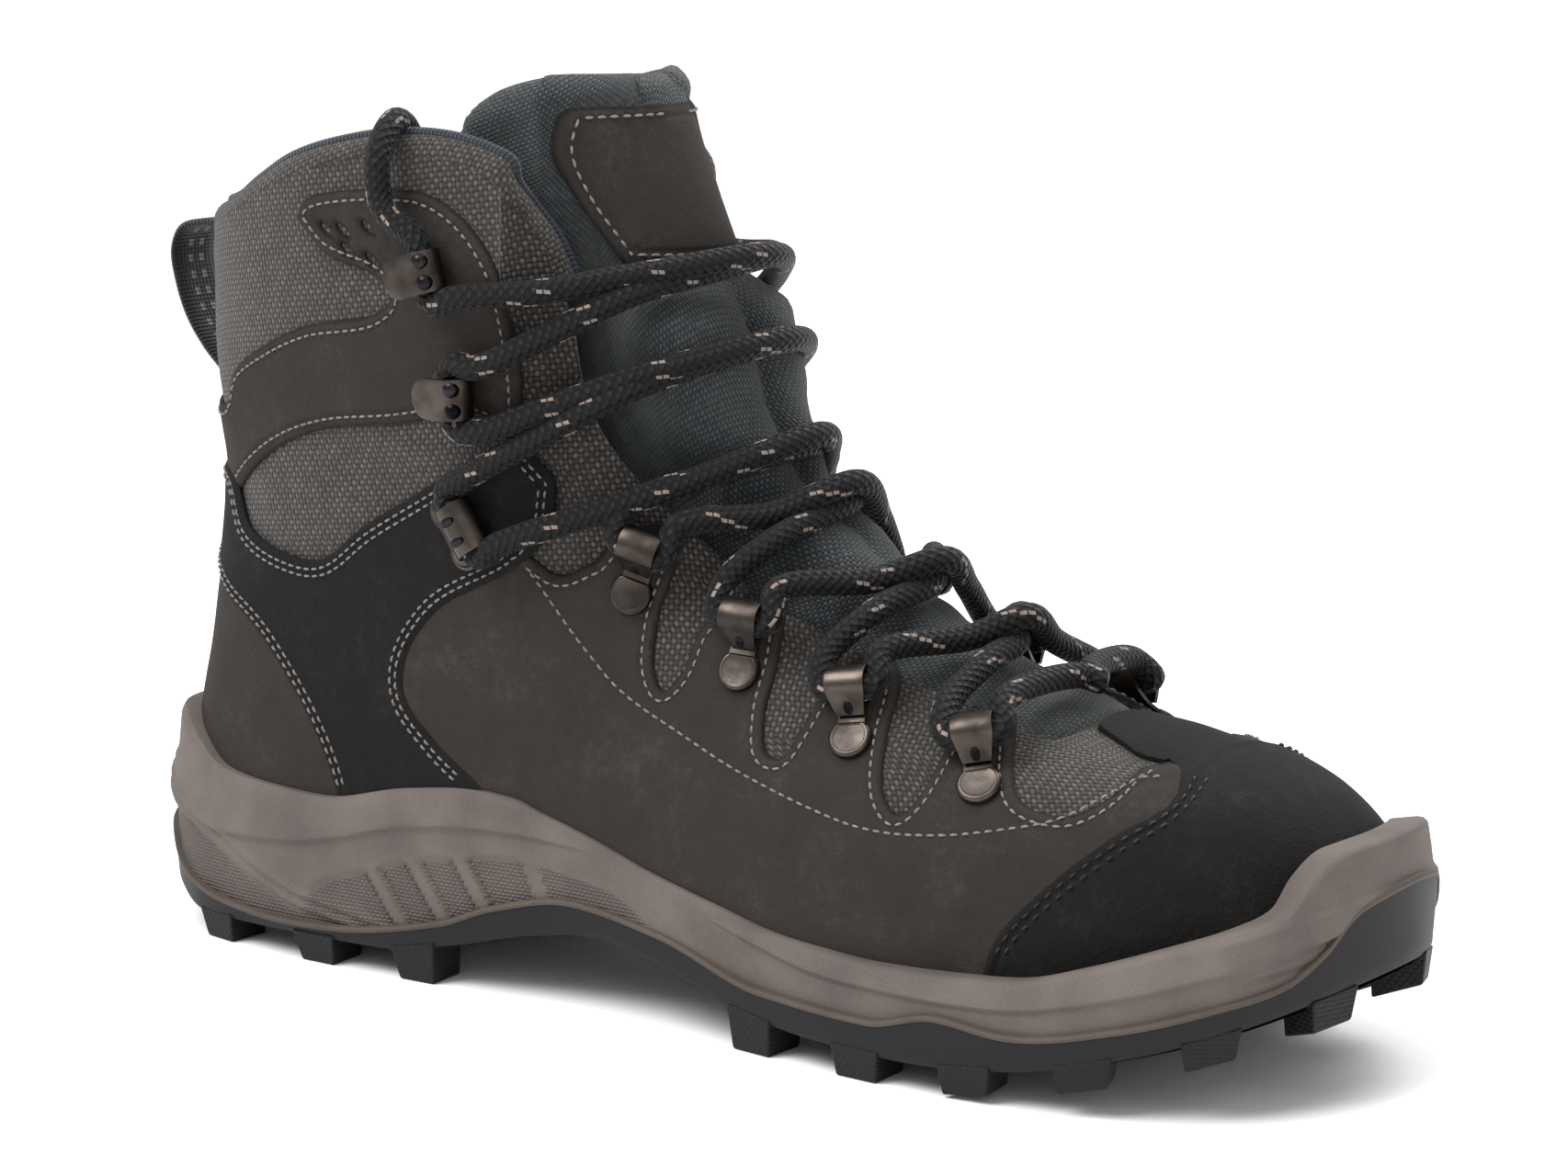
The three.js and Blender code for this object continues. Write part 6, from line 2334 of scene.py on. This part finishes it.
    def cleat(self) -> list[tuple[Shell, bool]]:
        """A wide cleat: two ears for its rivets, and a slanted hood with two pressed slots, their openings painted as
        shade.

        Returns:
            Its shells, each with whether it is dark: here the painted shade in the slots.
        """
        low = self.metal / 2
        band = np.column_stack([np.linspace(-3.0, 4.6, 7), np.full(7, low)])
        path = np.vstack([band, self.arc(6, -78, 190, 26)])
        widths = np.concatenate([[7, 9.5, 10.4, 10.6, 10.8, 11, 11], np.full(26, 11.2)])
        parts = [(self.strap(path, widths, lean=1.2), False)]
        for hand in (-1, 1):
            ear = [(3.9, -0.3), (3.9, 0.75), (3.7, 0.95), (3.2, 0.98), (0.5, 0.98)]
            parts.append((self.turned(ear, (hand * self.ear, 0, 0)), False))
            angle = math.radians(62)
            radius = self.tunnel + self.metal + 0.05
            y = 6 + radius * math.cos(angle + 0.5)
            z = self.tunnel + self.metal + radius * math.sin(angle + 0.5)
            # A dark lozenge of painted shade that stands for the slot's opening.
            slot = self.turned([(1.0, -0.3), (0.95, 0.2), (0.6, 0.42), (0.15, 0.45)], (0, 0, 0))
            slot.points[:, 1] *= 2.0
            tip = angle + 0.5 - math.pi / 2
            y0, z0 = slot.points[:, 1].copy(), slot.points[:, 2].copy()
            slot.points[:, 1] = y + y0 * math.cos(tip) - z0 * math.sin(tip)
            slot.points[:, 2] = z + y0 * math.sin(tip) + z0 * math.cos(tip)
            slot.points[:, 0] += hand * 2.4 + 0.9
            parts.append((slot, True))
        return parts

    def build(self) -> None:
        """Makes all fourteen fastenings and the cleats' rivet heads."""
        makers = {"ring": self.ring, "hook": self.hook, "clea": self.cleat}
        for gate in GATES:
            parts = makers[gate.name[:4]]()
            for side in Side:
                axes, origin = gate.seat(self.last, side)
                word = side.name.lower()
                kind, *number = gate.name.split("_")
                node = "_".join([f"lace_{kind}_{word}", *number])
                for black in (False, True):
                    # The dark parts are black steel studs on the hooks, and painted shade in the ring and cleat
                    # openings.
                    chosen = [s for s, flag in parts if flag is black]
                    if not chosen:
                        continue
                    shell = join([Shell(s.points @ axes + origin, s.faces, None, s.sharp) for s in chosen])
                    name = f"{kind}_{word}_{'_'.join(number) or '1'}{'_inlay' if black else ''}"
                    self.shop.piece(name, shell, self.looks.black_metal if black else self.looks.metal,
                                    "antique_metal", replaces=() if black else [node])
                if kind == "cleat":
                    for k, hand in enumerate((-1, 1)):
                        head = [(3.0, 0.9), (3.05, 1.25), (2.8, 1.75), (2.2, 2.2), (1.3, 2.55), (0.3, 2.7)]
                        dome = self.turned(head, (hand * self.ear, 0, 0))
                        shell = Shell(dome.points @ axes + origin, dome.faces, None, 45)
                        self.shop.piece(f"rivet_head_{word}_{k + 1}", shell, self.looks.metal,
                                        "antique_metal",
                                        replaces=[f"cleat_rivet_{word}_{k + 1}"])


# ---- The lace -------------------------------------------------------------------------------


@dataclass
class Lace:
    """One round braided lace, criss-crossed from the toe and tucked into the shaft."""

    last: Last
    shop: Workshop
    looks: Finishes
    diameter: float = LACE_DIAMETER
    length: float = 2.14  # metres, what the route through every tunnel and both tucked ends comes to
    rise: float = LACE_DIAMETER / 2 + 0.45 + 0.9
    CLEAR = 2.2
    TURN_PAST, TURN_UP = 2.5, 7.0
    CRESTS = ((145.5, 158), (151, 141), (160, 118), (172.5, 104), (195, 90), (216, 79))
    TOE_CREST = (236, 72)
    TUCK = ((90, -48.5, 172), (88, -47.5, 183), (86, -39, 190), (82, -28, 185), (76, -21.5, 168),
            (73, -20, 125), (75, -19, 60), (88, -18, 38.5), (142, -14, 35))

    def __post_init__(self) -> None:
        """Sets how high the two layers of legs run over the tongue."""
        self.under = self.diameter / 2 + 2.2
        self.over = self.under + self.diameter + 0.5

    def mouth(self, number: int, side: Side, end: int, past: float, up: float = 0.0) -> Array:
        """A point past a tunnel's mouth; end is -1 at the collar and 1 at the toe.

        Args:
            number: The fastening.
            side: The side.
            end: Which mouth.
            past: How far past it.
            up: How far towards the throat.

        Returns:
            The point.
        """
        gate = GATES[number]
        axes, origin = gate.seat(self.last, side)
        hand = end if side is Side.OUTER else -end
        return np.array([hand * (gate.half + past), gate.reach + up, self.rise]) @ axes + origin

    def flank(self, number: int, side: Side, end: int, top: tuple[float, float]) -> list[Array]:
        """The part of a leg on the side of the boot, from the tunnel towards the ridge.

        Args:
            number: The fastening.
            side: The side.
            end: Which mouth.
            top: Where the leg crosses the ridge.

        Returns:
            The points.
        """
        turn = self.mouth(number, side, end, self.TURN_PAST, self.TURN_UP)
        start = turn[[0, 2]]
        points = [turn]
        for share in GATES[number].shares:
            spot = start + (np.array(top) - start) * share
            point, _ = self.last.place(spot, side, self.under, strict=False)
            points.append(point[0])
        return points

    def leg(self, number: int, side: Side, following: int, end: int, top: tuple[float, float],
            lift: float) -> list[Array]:
        """Over the tongue from one tunnel's toe end to an end of one on the other side.

        Args:
            number: The first fastening.
            side: Its side.
            following: The fastening on the other side.
            end: Its mouth.
            top: Where the leg crosses the ridge.
            lift: How high it crosses.

        Returns:
            The points.
        """
        other = Side.INNER if side is Side.OUTER else Side.OUTER
        angle = self.last.bearing(*top)
        crest = self.last.point(angle, np.pi / 2) + self.last.normal(angle, np.pi / 2) * lift
        fall = self.flank(following, other, end, top)[::-1]
        return [*self.flank(number, side, 1, top), np.ravel(crest), *fall]

    def half(self, side: Side) -> list[Array]:
        """From a top hook down to the toe ring, crossing at every level.

        Args:
            side: The side it starts on.

        Returns:
            The points.
        """
        points = []
        for number in range(len(GATES)):
            points += [self.mouth(number, side, end, self.CLEAR) for end in (-1, 1)]
            if number == len(GATES) - 1:
                break
            lift = self.over if side is Side.OUTER else self.under
            points += self.leg(number, side, number + 1, -1, self.CRESTS[number], lift)
            side = Side.INNER if side is Side.OUTER else Side.OUTER
        return points

    def route(self) -> Array:
        """The whole lace's centreline, densely.

        Returns:
            The points.
        """
        outer = [np.array(p, float) for p in self.TUCK]
        inner = [p * np.array([1, -1, 1]) for p in outer]
        foot = len(GATES) - 1
        bar = self.leg(foot, Side.OUTER, foot, 1, self.TOE_CREST, self.under)
        points = [*outer[::-1], *self.half(Side.OUTER), *bar, *self.half(Side.INNER)[::-1], *inner]
        return evenly(through(np.array(points), 12), 1.1)

    def build(self) -> None:
        line = self.route()
        LOG.info("lace centreline %.3f m", along(line)[-1] / 1000)
        lace = self.shop.piece("round_lace", tube(line, self.diameter / 2, 18), self.looks.braid,
                               "lace_braid",
                               replaces=["lace"])
        tips = []
        for name, end in (("outer", line[:21]), ("inner", line[::-1][:21])):
            tips.append(self.shop.piece(f"lace_tip_{name}", tube(end, 1.9, 16), self.looks.plastic,
                                        "aglet_plastic", replaces=[f"aglet_{name}"]))
        path = self.shop.pattern.to_frame(line)
        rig.cord(lace, exit=tuple(path[0]), length=self.length, diameter=self.diameter / 1000,
                far_end="object",
                stiffness="limp", lay="taut", path=path.tolist(), with_pieces=tips)


def tube(line: Array, radius: float, sides: int) -> Shell:
    """A closed tube along a line, with the distance along and round it as its pattern.

    Args:
        line: Its middle.
        radius: Its radius.
        sides: How many sides it has.

    Returns:
        The mesh.
    """
    ahead = unit(np.gradient(line, axis=0))
    side = unit(np.cross(ahead[0], np.array([0.0, 0.3, 1.0])))
    frames = []
    for way in ahead:
        side = unit(side - way * side.dot(way))
        frames.append(side)
    side = np.array(frames)
    up = np.cross(ahead, side)
    angle = np.linspace(0, 2 * math.pi, sides + 1)
    ring = np.cos(angle)[None, :, None] * side[:, None] + np.sin(angle)[None, :, None] * up[:, None]
    points = line[:, None] + ring * radius
    run = along(line)
    pattern = np.zeros(points.shape)
    pattern[..., 0] = run[:, None]
    pattern[..., 1] = angle[None, :] * radius
    wide, count = sides + 1, len(line)
    faces = quads(count, wide)
    ends = [tuple(range(sides))[::-1], tuple((count - 1) * wide + c for c in range(sides))]
    return Shell(points.reshape(-1, 3), [f[::-1] for f in faces + ends], pattern.reshape(-1, 3), 60)


# ---- Pull loop and inside -------------------------------------------------------------------


@dataclass
class PullLoop:
    """The webbing loop that helps the heel in."""

    shop: Workshop
    looks: Finishes
    width: float = 15.0
    thickness: float = 1.6
    LINE = ((14, 121.5), (10, 127), (4, 133), (-1, 140), (-4, 148), (-5, 155), (-2.5, 160), (4, 161.8),
            (11, 161.2))

    def build(self) -> None:
        """Makes the loop with rounded selvedges."""
        line = evenly(through(np.array(self.LINE, float), 10), 0.8)
        ahead = unit(np.gradient(line, axis=0))
        off = np.stack([-ahead[:, 1], ahead[:, 0]], 1)
        half, thick = self.width / 2, self.thickness / 2
        section = [(-half + 0.5, thick), (-half / 2, thick), (0, thick), (half / 2, thick),
                   (half - 0.5, thick),
                   (half, 0), (half - 0.5, -thick), (half / 2, -thick), (0, -thick), (-half / 2, -thick),
                   (-half + 0.5, -thick), (-half, 0)]
        run = along(line)
        points, pattern = [], []
        for spot, way, distance in zip(line, off, run):
            for across, out in section:
                x, z = spot + way * out
                points.append((x, across, z))
                pattern.append((distance, across, 0))
        wide, count = len(section), len(line)
        faces = quads(count, wide, around=True)
        faces += [tuple(range(wide))[::-1], tuple((count - 1) * wide + c for c in range(wide))]
        shell = Shell(np.array(points), faces, np.array(pattern), 60)
        self.shop.piece("webbing_loop", shell, self.looks.webbing, "webbing", replaces=["pull_loop"])


@dataclass
class Inside:
    """The footbed's cover."""

    last: Last
    shop: Workshop
    looks: Finishes
    LEVEL = Curve([(-2, 30.5), (70, 30.5), (120, 31.5), (150, 28.5), (190, 22.5), (215, 21), (250, 23.5),
                      (300, 33)])

    def build(self) -> None:
        """Makes the footbed's cover."""
        x = np.linspace(9, 296, 150)
        z = self.LEVEL(x)
        sides = [self.last.place(np.column_stack([x, z]), side, -5.0)[0] for side in Side]
        keep = ~np.isnan(sides[0][:, 0]) & ~np.isnan(sides[1][:, 0])
        outer, inner = (s[keep] for s in sides)
        rows = []
        for share in np.linspace(0, 1, 25):
            row = outer + (inner - outer) * share
            row[:, 2] += 3.5 * abs(2 * share - 1) ** 4
            rows.append(row)
        grid = np.array(rows)
        count, wide = grid.shape[:2]
        faces = quads(count, wide)
        points = grid.reshape(-1, 3)
        shell = Shell(points, faces, np.column_stack([points[:, :2], np.zeros(len(points))]), 60)
        self.shop.piece("footbed_cover", shell, self.looks.foam, "foam", replaces=["footbed"])


def dress_hidden(looks: Finishes, nodes: dict) -> None:
    """Gives each CAD part that stays its finish.

    Args:
        looks: The finishes.
        nodes: The CAD parts by name.
    """
    for name, node in nodes.items():
        if name in ("insole_board", "shank", "heel_counter", "toe_puff"):
            finish = looks.board
        elif "rivet" in name:
            finish = looks.metal
        else:
            continue
        node.data.materials.clear()
        node.data.materials.append(finish)


# ---- Studio ---------------------------------------------------------------------------------


@dataclass
class Studio:
    """The camera, the soft lights and the pale floor."""

    pattern: Pattern
    azimuth: float = 33.0
    elevation: float = 10.0
    distance: float = 945.03
    target: tuple[float, float, float] = (160.38, 0.0, 89.44)

    def build(self) -> None:
        """Sets the studio up."""
        a, e = math.radians(self.azimuth), math.radians(self.elevation)
        back = np.array([math.sin(a) * math.cos(e), -math.cos(a) * math.cos(e), math.sin(e)])
        camera = bpy.data.objects.new("camera", bpy.data.cameras.new("camera"))
        camera.data.lens, camera.data.sensor_width = 100, 36
        camera.location = self.pattern.to_frame(np.array(self.target) + back * self.distance)
        camera.rotation_mode = "QUATERNION"
        camera.rotation_quaternion = Vector(-back).to_track_quat("-Z", "Y")
        bpy.context.scene.collection.objects.link(camera)
        bpy.context.scene.camera = camera
        self.floor()
        self.sun((-0.5, -0.75, 1.25), 2.3)
        self.light("key", (-0.55, -0.95, 1.15), 0.9, 6)
        self.light("fill", (1.0, -0.9, 0.7), 1.1, 3)
        self.light("rim", (0.2, 0.9, 1.1), 1.0, 14)
        self.light("top", (0.1, -0.1, 1.6), 1.2, 6)
        world = bpy.data.worlds.new("studio")
        world.use_nodes = True
        background = world.node_tree.nodes["Background"]
        background.inputs[0].default_value = linear("#ffffff")
        background.inputs[1].default_value = 0.62
        bpy.context.scene.world = world
        bpy.context.scene.view_settings.view_transform = "Standard"

    def floor(self) -> None:
        """A pale sweep under the boot."""
        mesh = bpy.data.meshes.new("floor")
        size = 12.0
        mesh.from_pydata([(-size, -size, 0), (size, -size, 0), (size, size, 0), (-size, size, 0)], [],
                         [(0, 1, 2, 3)])
        floor = bpy.data.objects.new("floor", mesh)
        bpy.context.scene.collection.objects.link(floor)
        mesh.materials.append(Plain("pale_floor", "#fafafa", "#fbfbfb", grain=50.0, roughness=0.9,
                                    relief=0.0).build())
        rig.stage(floor)

    def sun(self, place: tuple[float, float, float], strength: float) -> None:
        """A very wide, soft sun, which lights the whole floor evenly.

        Args:
            place: Where it stands.
            strength: Its strength.
        """
        lamp = bpy.data.lights.new("soft_sun", "SUN")
        lamp.energy, lamp.angle = strength, math.radians(40)
        holder = bpy.data.objects.new("soft_sun", lamp)
        holder.rotation_euler = (-Vector(place)).to_track_quat("-Z", "Y").to_euler()
        bpy.context.scene.collection.objects.link(holder)

    def light(self, name: str, place: tuple[float, float, float], size: float, power: float) -> None:
        """One softbox that points at the boot.

        Args:
            name: Its name.
            place: Where it stands, in metres.
            size: Its side.
            power: Its power, in watts.
        """
        lamp = bpy.data.lights.new(name, "AREA")
        lamp.shape, lamp.size, lamp.energy = "SQUARE", size, power
        holder = bpy.data.objects.new(name, lamp)
        holder.location = place
        holder.rotation_euler = (Vector((0, 0, 0.08)) - Vector(place)).to_track_quat("-Z", "Y").to_euler()
        bpy.context.scene.collection.objects.link(holder)


def main() -> None:
    """Builds the boot, piece by piece."""
    logging.basicConfig(level=logging.INFO, format="%(name)s: %(message)s")
    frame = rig.load()
    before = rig.bounds()
    pattern = Pattern()
    shop, looks, last = Workshop(pattern), Finishes(), Last()
    Unrolled.measure(last)
    Studio(pattern).build()
    Lace(last, shop, looks).build()
    upper = Upper(last, Skin(last), shop, looks)
    upper.make_panels()
    upper.make_lining()
    upper.make_collar()
    upper.make_stitches()
    Tongue(shop, looks, upper.body).build()
    sole = Sole(last, shop, looks)
    sole.make_midsole()
    sole.make_outsole()
    Fastenings(last, shop, looks).build()
    PullLoop(shop, looks).build()
    Inside(last, shop, looks).build()
    dress_hidden(looks, frame["nodes"])
    LOG.info("%d pieces", shop.made)
    with open(SIZE_FILE, "w") as file:
        json.dump({"before": [list(v) for v in before], "after": [list(v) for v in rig.bounds()]}, file)


if __name__ == "__main__":
    main()
